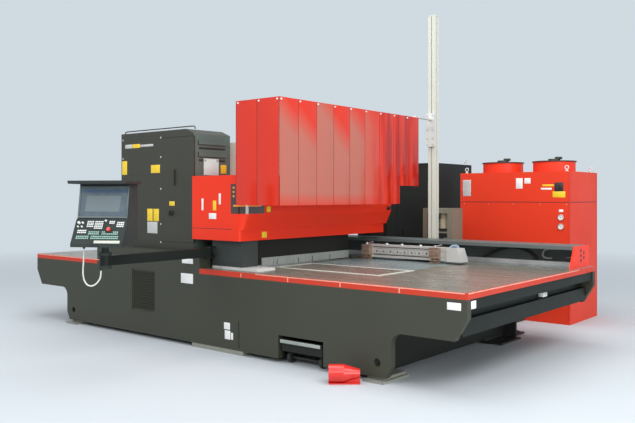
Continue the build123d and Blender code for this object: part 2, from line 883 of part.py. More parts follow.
# Bridge: columns and beam
with BuildPart() as front_column:
    column_y = span(bed_front + column_setback, column_depth)
    block((column_left, column_right), column_y, (table_height, beam_bottom))
    foot_y_limits = (column_y[0] - column_foot_margin, column_y[1] + column_foot_margin)
    foot_z_limits = span(table_height, column_foot_thickness)
    block((column_foot_left, column_foot_right), foot_y_limits, foot_z_limits)
finish(front_column, "front_column")

with BuildPart() as rear_column:
    rear_column_y = (bed_rear + rear_column_gap, beam_rear)
    block((beam_left, beam_right), rear_column_y, (0, beam_bottom))
finish(rear_column, "rear_column")

with BuildPart() as bridge_beam:
    beam_y = (beam_front, beam_rear)
    block((beam_left, beam_right), beam_y, (beam_bottom, beam_top))
    block(
        (beam_left + beam_wall, beam_right - beam_wall),
        (beam_y[0] - cut_overrun, beam_y[1] - beam_wall),
        (beam_bottom + beam_wall, beam_top - beam_wall),
        Mode.SUBTRACT,
    )
    for side in (-1, 1):
        hanger_z = (beam_top, cover_top - cover_wall)
        block((beam_left, beam_right), around(side * hanger_offset, hanger_length), hanger_z)
finish(bridge_beam, "bridge_beam")


# Red bridge cover: an upper shell with a tapered foot, and a lower skirt set in by a step
def cover_outline(inset, corner_cut, height, wall=0):
    """The cover's plan with one large round corner, drawn in by inset on the table and rear sides alone."""
    x = (cover_left + wall, cover_right - inset - wall)
    y = (cover_front + wall, cover_rear - inset - wall)
    with BuildSketch(Plane.XY.offset(height)) as plan:
        with Locations((sum(x) / 2, sum(y) / 2)):
            Rectangle(x[1] - x[0], y[1] - y[0])
        ranked = plan.vertices().sort_by(lambda corner: corner.X - corner.Y)
        fillet(ranked[-1:], cover_corner - corner_cut)
        fillet(ranked[:-1], cover_back_corner)
    return plan.sketch


with BuildPart() as cover_upper:
    taper_top = upper_bottom + taper_height
    extrude(cover_outline(0, 0, taper_top), amount=cover_top - taper_top)
    loft([cover_outline(0, 0, taper_top), cover_outline(taper_inset, taper_inset, upper_bottom)])
    hollow_top = cover_outline(0, cover_wall, taper_top, cover_wall)
    extrude(hollow_top, amount=cover_top - taper_top - cover_wall, mode=Mode.SUBTRACT)
    cover_foot_inset = taper_inset + cover_wall
    hollow_foot = cover_outline(taper_inset, cover_foot_inset, upper_bottom, cover_wall)
    loft([hollow_top, hollow_foot], mode=Mode.SUBTRACT)
    port_x = (beam_left - beam_port_margin, beam_right + beam_port_margin)
    port_y = (cover_rear - cover_foot_inset - cut_overrun, cover_rear + cut_overrun)
    port_z = (upper_bottom, beam_top + beam_port_margin)
    block(port_x, port_y, port_z, Mode.SUBTRACT)
finish(cover_upper, "cover_upper")

with BuildPart() as cover_skirt:
    skirt_corner_cut = cover_corner - cover_back_corner
    flange_bottom = upper_bottom - cover_wall
    extrude(cover_outline(skirt_inset, skirt_corner_cut, cover_bottom), amount=flange_bottom - cover_bottom)
    extrude(cover_outline(taper_inset, taper_inset, flange_bottom), amount=cover_wall)
    skirt_hollow = cover_outline(skirt_inset, skirt_corner_cut, cover_bottom, cover_wall)
    extrude(skirt_hollow, amount=skirt_height, mode=Mode.SUBTRACT)
finish(cover_skirt, "cover_skirt")

# Dark wall under the cover on the table side, and the pale skirt at its foot
wall_face = guard_wall_face
with BuildPart() as lower_guard:
    guard_wall_x = (wall_face - guard_wall_thickness, wall_face)
    guard_wall_y = (column_y[1] + column_foot_margin, guard_wall_rear)
    guard_wall_z = (table_height + guard_wall_gap, cover_bottom + guard_wall_thickness)
    block(guard_wall_x, guard_wall_y, guard_wall_z)
    skirt_inner_face = cover_right - skirt_inset - cover_wall
    flange_limits_z = (cover_bottom, cover_bottom + guard_wall_thickness)
    block((guard_wall_x[0], skirt_inner_face), guard_wall_y, flange_limits_z)
finish(lower_guard, "lower_guard")

with BuildPart() as sheet_skirt:
    skirt_x = span(wall_face, sheet_skirt_thickness)
    skirt_y = (sheet_skirt_front, guard_wall_rear)
    skirt_z = span(table_height + sheet_skirt_gap, sheet_skirt_height)
    block(skirt_x, skirt_y, skirt_z)
    for share in sheet_skirt_notch_shares:
        notch_y = around(skirt_y[0] + share * (skirt_y[1] - skirt_y[0]), sheet_skirt_notch)
        notch_top = skirt_z[0] + sheet_skirt_notch_depth_share * sheet_skirt_height
        notch_x = (skirt_x[0] - cut_overrun, skirt_x[1] + cut_overrun)
        block(notch_x, notch_y, (skirt_z[0] - cut_overrun, notch_top), Mode.SUBTRACT)
finish(sheet_skirt, "sheet_skirt")

# Guide rails: two across the bridge beam and one along the back of the table
with BuildPart() as guide_rails:
    cross_rail_x = span(beam_right, rail_depth)
    cross_rail_y = (beam_front + cross_rail_front_inset, beam_rear - cross_rail_rear_inset)
    for rail_z in (rail_low, rail_high):
        block(cross_rail_x, cross_rail_y, span(rail_z, rail_width))
    long_rail_x = (bed_left + long_rail_end_inset, bed_right - long_rail_end_inset)
    long_rail_limits_y = around(long_rail_y, long_rail_width)
    block(long_rail_x, long_rail_limits_y, span(table_height, long_rail_height))
finish(guide_rails, "guide_rails")

# Cross carriage on the beam rails, with its drive motor
with BuildPart() as cross_carriage:
    saddle_x = span(cross_rail_x[1] + running_gap, saddle_thickness)
    saddle_y = around(head_y, saddle_length)
    saddle_z = (rail_low - saddle_margin, rail_high + rail_width + saddle_margin)
    block(saddle_x, saddle_y, saddle_z)
    lip_x = (saddle_x[0] - saddle_lip, saddle_x[0])
    for rail_z in (rail_low, rail_high):
        block(lip_x, saddle_y, (rail_z - running_gap - saddle_lip, rail_z - running_gap))
        lip_top = rail_z + rail_width + running_gap
        block(lip_x, saddle_y, (lip_top, lip_top + saddle_lip))
    key_x = (saddle_x[1], saddle_x[1] + slide_key_depth)
    block(key_x, around(head_y, slide_key_width), saddle_z)
    motor_x = saddle_x[0] + motor_radius
    motor_y = head_y - saddle_length / 2 + motor_radius
    rod((motor_x, motor_y, saddle_z[1]), (0, 0, 1), motor_radius, motor_height)
finish(cross_carriage, "cross_carriage")

# Cutting head on its upright slide
with BuildPart() as cutting_head:
    slide_x = span(saddle_x[1] + running_gap, slide_thickness)
    slide_z = saddle_z
    block(slide_x, around(head_y, slide_width), slide_z)
    groove_x = (slide_x[0] - cut_overrun, key_x[1] + running_gap)
    groove_z = (slide_z[0] - cut_overrun, slide_z[1] + cut_overrun)
    block(groove_x, around(head_y, slide_key_width + 2 * running_gap), groove_z, Mode.SUBTRACT)
    head_x = slide_x[1] + head_offset
    rod((head_x, head_y, head_bottom), (0, 0, 1), head_radius, head_length)
    arm_z = (head_bottom + head_length / 2, head_bottom + head_length)
    block((slide_x[1], head_x), around(head_y, head_radius), arm_z)
    rod(
        (head_x, head_y, head_bottom),
        (0, 0, -1),
        head_radius,
        head_bottom - nozzle_tip_height,
        tip_radius=nozzle_tip_radius,
    )
finish(cutting_head, "cutting_head")

# Strip guard: a tube frame on two posts, and the hanging strips
guard_rear = guard_front + guard_length
with BuildPart() as guard_frame:
    frame_z = (guard_top_height - guard_tube, guard_top_height)
    block((guard_left, guard_right), (guard_front, guard_rear), frame_z)
    block(
        (guard_left + guard_tube, guard_right - guard_tube),
        (guard_front + guard_tube, guard_rear - guard_tube),
        (frame_z[0] - cut_overrun, frame_z[1] + cut_overrun),
        Mode.SUBTRACT,
    )
    for post_y in guard_post_ys:
        block(around(guard_post_x, guard_tube), around(post_y, guard_tube), (cover_top, frame_z[0]))
finish(guard_frame, "guard_frame")

with BuildPart() as guard_strips:
    strip_pitch = guard_length / guard_strip_count
    for index in range(guard_strip_count):
        strip_start = guard_front + index * strip_pitch
        strip_y = (strip_start + guard_strip_gap / 2, strip_start + strip_pitch - guard_strip_gap / 2)
        block(span(guard_right, guard_strip_thickness), strip_y, (guard_bottom_height, guard_top_height))
    end_pitch = (guard_right - guard_left) / guard_end_count
    for index in range(guard_end_count):
        end_start = guard_left + index * end_pitch
        end_x = (end_start + guard_strip_gap / 2, end_start + end_pitch - guard_strip_gap / 2)
        end_y = (guard_front - guard_strip_thickness, guard_front)
        block(end_x, end_y, (guard_bottom_height, guard_top_height))
    notch_x = (guard_right - cut_overrun, guard_right + cut_overrun)
    notch_z = (guard_bottom_height - cut_overrun, guard_short_height)
    block(notch_x, (guard_notch_front, guard_rear + cut_overrun), notch_z, Mode.SUBTRACT)
finish(guard_strips, "guard_strips")

# Mast with slots on all sides, its bracket, and the supply stand behind it
mast_x = span(mast_left, mast_size)
mast_y = span(bed_rear, mast_size)
with BuildPart() as mast_post:
    with BuildSketch():
        with Locations((sum(mast_x) / 2, sum(mast_y) / 2)):
            Rectangle(mast_size, mast_size)
            with PolarLocations((mast_size - mast_slot_depth) / 2, 4):
                Rectangle(mast_slot_depth, mast_slot_width, mode=Mode.SUBTRACT)
    extrude(amount=mast_height)
finish(mast_post, "mast_post")

with BuildPart() as mast_bracket:
    bracket_x = (mast_x[0] - bracket_margin, mast_x[1] + bracket_margin)
    bracket_y = (mast_y[0] - bracket_thickness, mast_y[0])
    bracket_z = span(bracket_bottom, bracket_height)
    block(bracket_x, bracket_y, bracket_z)
    arm_y = (guard_rear - guard_tube, bracket_y[0])
    arm_z = span(guard_top_height, bracket_arm_height)
    block(around(sum(mast_x) / 2, bracket_arm_width), arm_y, arm_z)
finish(mast_bracket, "mast_bracket")

stand_x = span(stand_left, stand_width)
stand_y = span(mast_y[1], stand_depth)
stand_open_x = (stand_x[0] + stand_left_wall, stand_x[1] - stand_right_wall)
stand_open_z = (stand_opening_bottom, stand_height - stand_top_bar)
with BuildPart() as supply_stand:
    block(stand_x, stand_y, (0, stand_height))
    open_y = (stand_y[0] - cut_overrun, stand_y[1] + cut_overrun)
    block(stand_open_x, open_y, stand_open_z, Mode.SUBTRACT)
    block(stand_open_x, stand_y, span(stand_shelf_height, stand_shelf_thickness))
finish(supply_stand, "supply_stand")

with BuildPart() as supply_filters:
    open_width = stand_open_x[1] - stand_open_x[0]
    filter_x = stand_open_x[0] + filter_x_share * open_width
    stand_middle = sum(stand_y) / 2
    rod((filter_x, stand_middle, stand_open_z[1]), (0, 0, -1), filter_cap_radius, filter_cap_height)
    cap_bottom = stand_open_z[1] - filter_cap_height
    rod((filter_x, stand_middle, cap_bottom), (0, 0, -1), filter_radius, filter_height)
    bottle_x = stand_open_x[0] + bottle_x_share * open_width
    rod((bottle_x, stand_middle, stand_open_z[0]), (0, 0, 1), bottle_radius, bottle_height)
finish(supply_filters, "supply_filters")

# Cover over the long rail, with an end plate at each end
rail_cover_x = (bed_left + rail_cover_left_inset, bed_right - rail_cover_right_inset)
rail_cover_top = table_height + rail_cover_height
with BuildPart() as rail_cover:
    sheet_z = (rail_cover_top - rail_cover_sheet, rail_cover_top)
    block(rail_cover_x, (rail_cover_front, bed_rear), sheet_z)
    block(rail_cover_x, (bed_rear - rail_cover_sheet, bed_rear), (table_height, sheet_z[0]))
    block(rail_cover_x, span(rail_cover_front, rail_cover_sheet), (sheet_z[0] - rail_cover_lip, sheet_z[0]))
finish(rail_cover, "rail_cover")

with BuildPart() as rail_ends:
    for plate_x in (rail_cover_x[0] - rail_end_thickness, rail_cover_x[1]):
        with BuildSketch(Plane.YZ.offset(plate_x)):
            with BuildLine():
                Polyline(
                    (rail_cover_front - rail_end_toe, table_height),
                    (bed_rear, table_height),
                    (bed_rear, rail_cover_top),
                    (rail_cover_front, rail_cover_top),
                    close=True,
                )
            make_face()
        extrude(amount=rail_end_thickness)
finish(rail_ends, "rail_ends")

# Sheet carriage: beam with an end block, saddle on the long rail, clamps and levers
carriage_x = span(carriage_left, carriage_length)
carriage_y = span(carriage_front, carriage_depth)
carriage_z = span(table_height + carriage_bottom_gap, carriage_height)
with BuildPart() as carriage_beam:
    block(carriage_x, carriage_y, carriage_z)
    for share in carriage_slot_shares:
        groove_z = around(carriage_z[0] + share * carriage_height, carriage_slot_width)
        groove_y = (carriage_y[0] - cut_overrun, carriage_y[0] + carriage_slot_depth)
        block(carriage_x, groove_y, groove_z, Mode.SUBTRACT)
    with BuildSketch(Plane.XZ.offset(-carriage_y[0] + end_block_reach)):
        with BuildLine():
            Polyline(
                (carriage_x[1], carriage_z[0]),
                (carriage_x[1] + end_block_length, carriage_z[0]),
                (carriage_x[1] + end_block_length - end_block_slant, carriage_z[1]),
                (carriage_x[1], carriage_z[1]),
                close=True,
            )
        make_face()
    extrude(amount=-carriage_depth - end_block_reach)
finish(carriage_beam, "carriage_beam")

with BuildPart() as carriage_saddle:
    rail_top = table_height + long_rail_height
    saddle_run_x = span(carriage_x[0] + carriage_saddle_offset, carriage_saddle_length)
    saddle_run_y = around(long_rail_y, carriage_saddle_depth)
    saddle_run_z = span(rail_top + running_gap, carriage_saddle_height)
    block(saddle_run_x, saddle_run_y, saddle_run_z)
    lip_z = (saddle_run_z[0] - carriage_lip_depth, saddle_run_z[0])
    for side, edge in ((-1, long_rail_limits_y[0]), (1, long_rail_limits_y[1])):
        lip_near = edge + side * running_gap
        block(saddle_run_x, sorted((lip_near, lip_near + side * carriage_lip)), lip_z)
    link_z = span(saddle_run_z[0], carriage_arm_thickness)
    block(saddle_run_x, (carriage_y[1], saddle_run_y[0]), link_z)
finish(carriage_saddle, "carriage_saddle")

clamp_starts = [carriage_x[0] + clamp_offset for clamp_offset in clamp_offsets]
clamp_front = carriage_y[0] - clamp_reach
stem_y = clamp_front + clamp_depth / 2
jaw_top = table_height + clamp_floor_gap + jaw_thickness + jaw_opening + jaw_thickness
with BuildPart() as clamp_bodies:
    for clamp_start in clamp_starts:
        clamp_x = span(clamp_start, clamp_width)
        stem_x = sum(clamp_x) / 2
        head_z = (jaw_top + jaw_opening, carriage_z[1])
        block(clamp_x, (clamp_front, carriage_y[0]), head_z)
        heel_z = (table_height + clamp_floor_gap, head_z[0])
        block(clamp_x, (clamp_front + clamp_depth + door_gap, carriage_y[0]), heel_z)
        tongue_z = span(table_height + clamp_floor_gap, jaw_thickness)
        block(clamp_x, (clamp_front, carriage_y[0]), tongue_z)
        stem_hole = jaw_stem_radius + pin_clearance
        rod((stem_x, stem_y, head_z[0]), (0, 0, 1), stem_hole, jaw_stem_length, Mode.SUBTRACT)
        lever_hole = lever_spindle_radius + pin_clearance
        lever_y = carriage_y[0] - clamp_reach / 2 + lever_spindle_radius
        rod((stem_x, lever_y, carriage_z[1]), (0, 0, -1), lever_hole, lever_spindle_depth, Mode.SUBTRACT)
finish(clamp_bodies, "clamp_bodies")

for clamp_start, side_name in zip(clamp_starts, ("left", "right")):
    stem_x = clamp_start + clamp_width / 2
    with BuildPart() as clamp_jaw:
        jaw_x = around(stem_x, clamp_width - 2 * jaw_side_margin)
        block(jaw_x, span(clamp_front, clamp_depth), (jaw_top - jaw_thickness, jaw_top))
        rod((stem_x, stem_y, jaw_top), (0, 0, 1), jaw_stem_radius, jaw_stem_length)
    finish(clamp_jaw, f"clamp_jaw_{side_name}")
    with BuildPart() as clamp_lever:
        hub_z = carriage_z[1] + running_gap
        rod((stem_x, lever_y, hub_z), (0, 0, 1), lever_hub_radius, lever_hub_height)
        spindle_length = lever_spindle_depth + running_gap - pin_clearance
        rod((stem_x, lever_y, hub_z), (0, 0, -1), lever_spindle_radius, spindle_length)
        lever_axis = (lever_length, 0, lever_rise)
        lever_start = (stem_x, lever_y, hub_z + lever_hub_height / 2)
        rod(lever_start, lever_axis, lever_radius, lever_length)
    finish(clamp_lever, f"clamp_lever_{side_name}")

# Console arm on a pivot in front of the bridge column
pivot_y = bed_front + column_setback - pivot_gap
arm_end_y = pivot_y - arm_reach
with BuildPart() as arm_bracket:
    ear_gap = (arm_bottom - running_gap, arm_bottom + arm_height + running_gap)
    ear_x = around(pivot_x, 2 * pivot_ear_radius)
    ear_y = (pivot_y, bed_front + column_setback)
    for ear_z in ((ear_gap[0] - pivot_ear_thickness, ear_gap[0]), span(ear_gap[1], pivot_ear_thickness)):
        block(ear_x, ear_y, ear_z)
        rod((pivot_x, pivot_y, ear_z[0]), (0, 0, 1), pivot_ear_radius, pivot_ear_thickness)
    rod((pivot_x, pivot_y, ear_gap[0]), (0, 0, 1), pivot_radius, ear_gap[1] - ear_gap[0])
finish(arm_bracket, "arm_bracket")

with BuildPart() as console_arm:
    arm_z = span(arm_bottom, arm_height)
    block(around(pivot_x, arm_width), (arm_end_y, pivot_y), arm_z)
    rod((pivot_x, pivot_y, arm_bottom), (0, 0, 1), pivot_ear_radius, arm_height)
    rod((pivot_x, arm_end_y, arm_bottom), (0, 0, 1), arm_width / 2, arm_height)
    rod((pivot_x, pivot_y, arm_bottom), (0, 0, 1), pivot_radius + pin_clearance, arm_height, Mode.SUBTRACT)
    post_hole = arm_post_radius + pin_clearance
    rod((pivot_x, arm_end_y, arm_bottom), (0, 0, 1), post_hole, arm_height, Mode.SUBTRACT)
finish(console_arm, "console_arm")

# Console: local X to the operator's right, local Y away from the operator
console_plane = Plane(
    (pivot_x, arm_end_y, 0),
    x_dir=(cos(radians(console_turn_degrees)), sin(radians(console_turn_degrees)), 0),
    z_dir=(0, 0, 1),
)


def console_point(x, y, z):
    """A point of the console's own frame, as a point of the machine."""
    return console_plane.from_local_coords(Vector(x, y, z))


def console_way(x, y, z):
    """A direction of the console's own frame, as a direction of the machine."""
    return console_point(x, y, z) - console_point(0, 0, 0)


key_low = (-console_lip_reach, console_lip_height)
key_high = (-console_key_setback, console_key_top)
screen_low = (-console_screen_start, console_key_top)
screen_high = (-console_screen_setback, console_screen_top)
console_side = Plane(
    console_point(-console_width / 2, 0, console_bottom),
    x_dir=console_way(0, 1, 0),
    z_dir=console_way(1, 0, 0),
)
screen_slope = Vector(screen_high[0] - screen_low[0], screen_high[1] - screen_low[1])
screen_length = screen_slope.length
screen_up = screen_slope.normalized()
key_slope = Vector(key_high[0] - key_low[0], key_high[1] - key_low[1])
key_up = key_slope.normalized()


def slope_plane(start, up, x, along):
    """A plane on a sloping console face: X to the right, Y up the slope, Z out towards the operator."""
    place = console_point(x, start[0] + up.X * along, console_bottom + start[1] + up.Y * along)
    return Plane(place, x_dir=console_way(1, 0, 0), z_dir=console_way(0, -up.Y, up.X))


screen_plane = slope_plane(screen_low, screen_up, 0, screen_lift + screen_height / 2)
stop_x = stop_x_share * console_width
stop_plane = slope_plane(key_low, key_up, stop_x, stop_slope_share * key_slope.length)
with BuildPart() as console_body:
    with BuildSketch(console_side):
        with BuildLine():
            Polyline(
                (console_back, 0),
                (-console_lip_reach, 0),
                key_low,
                key_high,
                screen_low,
                screen_high,
                (0, console_height),
                (console_back, console_height),
                close=True,
            )
        make_face()
    extrude(amount=console_width)
    with BuildSketch(console_plane.offset(console_bottom + console_height)):
        with Locations((0, (visor_back_reach - visor_front_reach) / 2)):
            Rectangle(visor_width, visor_front_reach + visor_back_reach)
    extrude(amount=visor_thickness)
    with BuildSketch(screen_plane):
        Rectangle(screen_width, screen_height)
    extrude(amount=-screen_sink, mode=Mode.SUBTRACT)
    low_collar_top = arm_bottom - running_gap
    low_collar_bottom = low_collar_top - arm_collar_height
    rod(console_point(0, 0, console_bottom), (0, 0, -1), arm_post_radius, console_bottom - low_collar_bottom)
    rod(console_point(0, 0, low_collar_top), (0, 0, -1), arm_collar_radius, arm_collar_height)
    high_collar_bottom = arm_bottom + arm_height + running_gap
    rod(console_point(0, 0, high_collar_bottom), (0, 0, 1), arm_collar_radius, arm_collar_height)
    stop_bore = stop_stem_radius + pin_clearance
    rod(stop_plane.origin, -stop_plane.z_dir, stop_bore, stop_stem_length, Mode.SUBTRACT)
    gland_top = console_point(cord_points[0][0], cord_points[0][1], console_bottom)
    rod(gland_top, (0, 0, -1), gland_radius, console_rise - cord_points[0][2])
    boss_top = console_point(cord_end[0], cord_end[1], low_collar_bottom)
    rod(boss_top, (0, 0, -1), gland_radius, low_collar_bottom - arm_bottom - cord_end[2])
finish(console_body, "console_body")

with BuildPart() as console_screen:
    with BuildSketch(screen_plane.offset(-screen_sink)):
        Rectangle(screen_width - 2 * pin_clearance, screen_height - 2 * pin_clearance)
    extrude(amount=screen_thickness)
finish(console_screen, "console_screen")

with BuildPart() as stop_button:
    button_start = stop_plane.origin + stop_plane.z_dir * (stop_travel + running_gap)
    rod(button_start, stop_plane.z_dir, stop_radius, stop_height)
    stem_length = stop_stem_length - running_gap
    rod(button_start, -stop_plane.z_dir, stop_stem_radius, stem_length)
finish(stop_button, "stop_button")


# Console cord: from the gland under the console, down in a loop and up to the arm's end
def bend_radii(points):
    """The largest tangent arc at each inner point, from the shorter run and half the turn."""
    radii = []
    for before, here, after in zip(points, points[1:], points[2:]):
        way_in = here - before
        way_out = after - here
        turn = radians(way_in.get_angle(way_out))
        radii.append(bend_share * min(way_in.length, way_out.length) / tan(turn / 2))
    return radii


bend_share = 0.45
cord_route = [console_point(x, y, arm_bottom + z) for x, y, z in cord_points + [cord_end]]
cord_radii = bend_radii(cord_route)
print("console cord bend radii", [round(radius) for radius in cord_radii])
with BuildPart() as console_cord:
    with BuildLine() as cord_path:
        FilletPolyline(*cord_route, radius=cord_radii)
    with BuildSketch(Plane(cord_route[0], z_dir=cord_route[1] - cord_route[0])):
        Circle(cord_radius)
    sweep()
finish(console_cord, "console_cord")

# Foot switch: a hood with a neck, and a sprung pedal in its mouth
foot_plane = Plane(
    (foot_x, foot_y, 0),
    x_dir=(cos(radians(foot_turn_degrees)), sin(radians(foot_turn_degrees)), 0),
    z_dir=(0, 0, 1),
)


def foot_point(x, y, z):
    """A point of the foot switch's own frame, as a point of the machine."""
    return foot_plane.from_local_coords(Vector(x, y, z))


hood_centre_z = foot_base_thickness + hood_radius - hood_sink
pedal_pin_x = hood_length - hood_wall - foot_pedal_thickness
with BuildPart() as foot_hood:
    along = foot_point(1, 0, 0) - foot_point(0, 0, 0)
    across = foot_point(0, 1, 0) - foot_point(0, 0, 0)
    with BuildSketch(foot_plane):
        with Locations(((hood_length + neck_length) / 2, 0)):
            Rectangle(hood_length + neck_length, foot_base_width)
    extrude(amount=foot_base_thickness)
    rod(foot_point(0, 0, hood_centre_z), along, hood_radius, hood_length)
    rod(foot_point(hood_length, 0, hood_centre_z), along, hood_radius, neck_length, tip_radius=neck_radius)
    with BuildSketch(foot_plane.offset(foot_base_thickness)):
        with Locations((hood_length + neck_length / 2, 0)):
            Rectangle(neck_length, neck_radius)
    extrude(amount=hood_radius - neck_radius / 2)
    mouth_length = hood_length - hood_wall
    rod(foot_point(0, 0, hood_centre_z), along, hood_radius - hood_wall, mouth_length, Mode.SUBTRACT)
    pin_start = foot_point(pedal_pin_x - foot_pin_radius, -foot_pin_reach, foot_pedal_height)
    rod(pin_start, across, foot_pin_radius, 2 * foot_pin_reach)
finish(foot_hood, "foot_hood")

with BuildPart() as foot_pedal:
    pedal_end = pedal_pin_x - foot_pin_radius
    pedal_z = span(foot_pedal_height - foot_pedal_thickness / 2, foot_pedal_thickness)
    with BuildSketch(foot_plane.offset(pedal_z[0])):
        with Locations((pedal_end - foot_pedal_length / 2, 0)):
            Rectangle(foot_pedal_length, foot_pedal_width)
    extrude(amount=foot_pedal_thickness)
    knuckle_start = foot_point(pedal_end, -foot_pedal_width / 2, foot_pedal_height)
    rod(knuckle_start, across, foot_pin_radius + foot_pedal_thickness / 2, foot_pedal_width)
    rod(knuckle_start, across, foot_pin_radius + pin_clearance, foot_pedal_width, Mode.SUBTRACT)
finish(foot_pedal, "foot_pedal")

# Control cabinet behind the bridge
control_x = span(control_left, control_width)
control_y = span(control_front, control_depth)
with BuildPart() as control_cabinet:
    block(control_x, control_y, (0, control_height))
    hollow_x = (control_x[0] + control_wall, control_x[1] - control_wall)
    hollow_y = (control_y[0] + control_door_thickness, control_y[1] - control_wall)
    hollow_z = (control_plinth_height, control_height - control_wall)
    block(hollow_x, hollow_y, hollow_z, Mode.SUBTRACT)
    door_way_x = (sum(control_x) / 2, hollow_x[1])
    door_way_y = (control_y[0] - cut_overrun, hollow_y[0] + running_gap)
    block(door_way_x, door_way_y, hollow_z, Mode.SUBTRACT)
finish(control_cabinet, "control_cabinet")

with BuildPart() as control_door:
    leaf_x = (door_way_x[0] + door_gap, door_way_x[1] - running_gap)
    leaf_z = (hollow_z[0] + door_gap, hollow_z[1] - door_gap)
    block(leaf_x, span(control_y[0], control_door_thickness), leaf_z)
    hinge_barrels(leaf_x[1] - hinge_radius - running_gap, control_y[0], leaf_z)
    handle_x = span(leaf_x[0] + control_handle_inset, control_handle_width)
    handle_y = (control_y[0] - control_handle_depth, control_y[0])
    block(handle_x, handle_y, around(control_height / 2, control_handle_length))
finish(control_door, "control_door")

# Chiller: shell with two fan rings and spiders, two fans and a rotary switch
chiller_x = span(chiller_left, chiller_width)
chiller_y = span(chiller_front, chiller_depth)
chiller_middle = (sum(chiller_x) / 2, sum(chiller_y) / 2)
fan_xs = (chiller_middle[0] - fan_spacing / 2, chiller_middle[0] + fan_spacing / 2)
fan_y = chiller_middle[1]
shroud_top = chiller_height + fan_shroud_height
chiller_switch_x = chiller_x[1] - chiller_switch_x_inset
chiller_switch_z = chiller_height - chiller_switch_drop
fan_seat_z = chiller_height - fan_seat
with BuildPart() as chiller_body:
    block(chiller_x, chiller_y, (0, chiller_height))
    for fan_x in fan_xs:
        rod((fan_x, fan_y, chiller_height), (0, 0, 1), fan_radius + fan_shroud_wall, fan_shroud_height)
    block(
        (chiller_x[0] + chiller_wall, chiller_x[1] - chiller_wall),
        (chiller_y[0] + chiller_wall, chiller_y[1] - chiller_wall),
        (chiller_wall, chiller_height - chiller_wall),
        Mode.SUBTRACT,
    )
    for fan_x in fan_xs:
        bore_length = fan_shroud_height + 2 * chiller_wall
        rod((fan_x, fan_y, shroud_top), (0, 0, -1), fan_radius, bore_length, Mode.SUBTRACT)
        spider_z = (fan_seat_z - fan_spider_height, fan_seat_z)
        spider_length = 2 * (fan_radius + fan_shroud_wall)
        block(around(fan_x, spider_length), around(fan_y, fan_spider_width), spider_z)
        block(around(fan_x, fan_spider_width), around(fan_y, spider_length), spider_z)
        post_z = (spider_z[1], chiller_height)
        post_step = fan_radius + fan_shroud_wall - fan_spider_width / 2
        post_x = (fan_x - post_step, fan_x + post_step)
        for post_middle in post_x:
            block(around(post_middle, fan_spider_width), around(fan_y, fan_spider_width), post_z)
        post_y = (fan_y - post_step, fan_y + post_step)
        for post_middle in post_y:
            block(around(fan_x, fan_spider_width), around(post_middle, fan_spider_width), post_z)
        rod((fan_x, fan_y, fan_seat_z), (0, 0, 1), fan_shaft_radius, fan_hub_height)
    seam_z = around(chiller_seam_height, chiller_seam_width)
    front_seam_y = (chiller_y[0] - cut_overrun, chiller_y[0] + chiller_seam_depth)
    block((chiller_x[0] - cut_overrun, chiller_x[1] + cut_overrun), front_seam_y, seam_z, Mode.SUBTRACT)
    side_seam_x = (chiller_x[1] - chiller_seam_depth, chiller_x[1] + cut_overrun)
    block(side_seam_x, chiller_y, seam_z, Mode.SUBTRACT)
    rod(
        (chiller_switch_x, chiller_y[0], chiller_switch_z),
        (0, 1, 0),
        switch_spindle_radius + pin_clearance,
        switch_spindle_length + pin_clearance,
        Mode.SUBTRACT,
    )
finish(chiller_body, "chiller_body")

for fan_x, fan_label in zip(fan_xs, ("chiller_fan_left", "chiller_fan_right")):
    with BuildPart() as chiller_fan:
        hub_z = fan_seat_z + running_gap
        rod((fan_x, fan_y, hub_z), (0, 0, 1), fan_hub_radius, fan_hub_height)
        blade_length = fan_radius - fan_tip_gap - fan_hub_radius / 2
        blade_z = hub_z + fan_hub_height / 2
        with Locations((fan_x, fan_y, blade_z)):
            with PolarLocations(fan_hub_radius / 2 + blade_length / 2, fan_blade_count):
                blade_turn = (fan_blade_pitch_degrees, 0, 0)
                Box(blade_length, fan_blade_width, fan_blade_thickness, rotation=blade_turn)
        bore_radius = fan_shaft_radius + pin_clearance
        rod((fan_x, fan_y, hub_z), (0, 0, 1), bore_radius, fan_hub_height, Mode.SUBTRACT)
    finish(chiller_fan, fan_label)

rotary_switch(chiller_switch_x, chiller_y[0], chiller_switch_z, "chiller_switch")

# Floor ducts: coolant from the chiller to the bed, cables from the control cabinet to the column
with BuildPart() as floor_ducts:
    duct_z = (0, duct_run_height)
    block(around(coolant_duct_x, duct_run_width), (bed_rear, chiller_y[0]), duct_z)
    block(around(cable_duct_x, duct_run_width), (beam_rear, control_y[0]), duct_z)
finish(floor_ducts, "floor_ducts")
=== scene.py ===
# %% [markdown]
# # Dressing a sheet laser cutter
# The solids of the machine come in as a fixed frame. This lesson gives them their finishes, adds the
# small pieces that a workshop machine carries, and sets up a plain studio round it.
# Everything is in metres, in the frame of the solids: X along the bed, Y from front to rear, Z up.

# %% Load the frame
from math import cos, pi, radians, sin

import bmesh
import bpy
from mathutils import Matrix, Vector


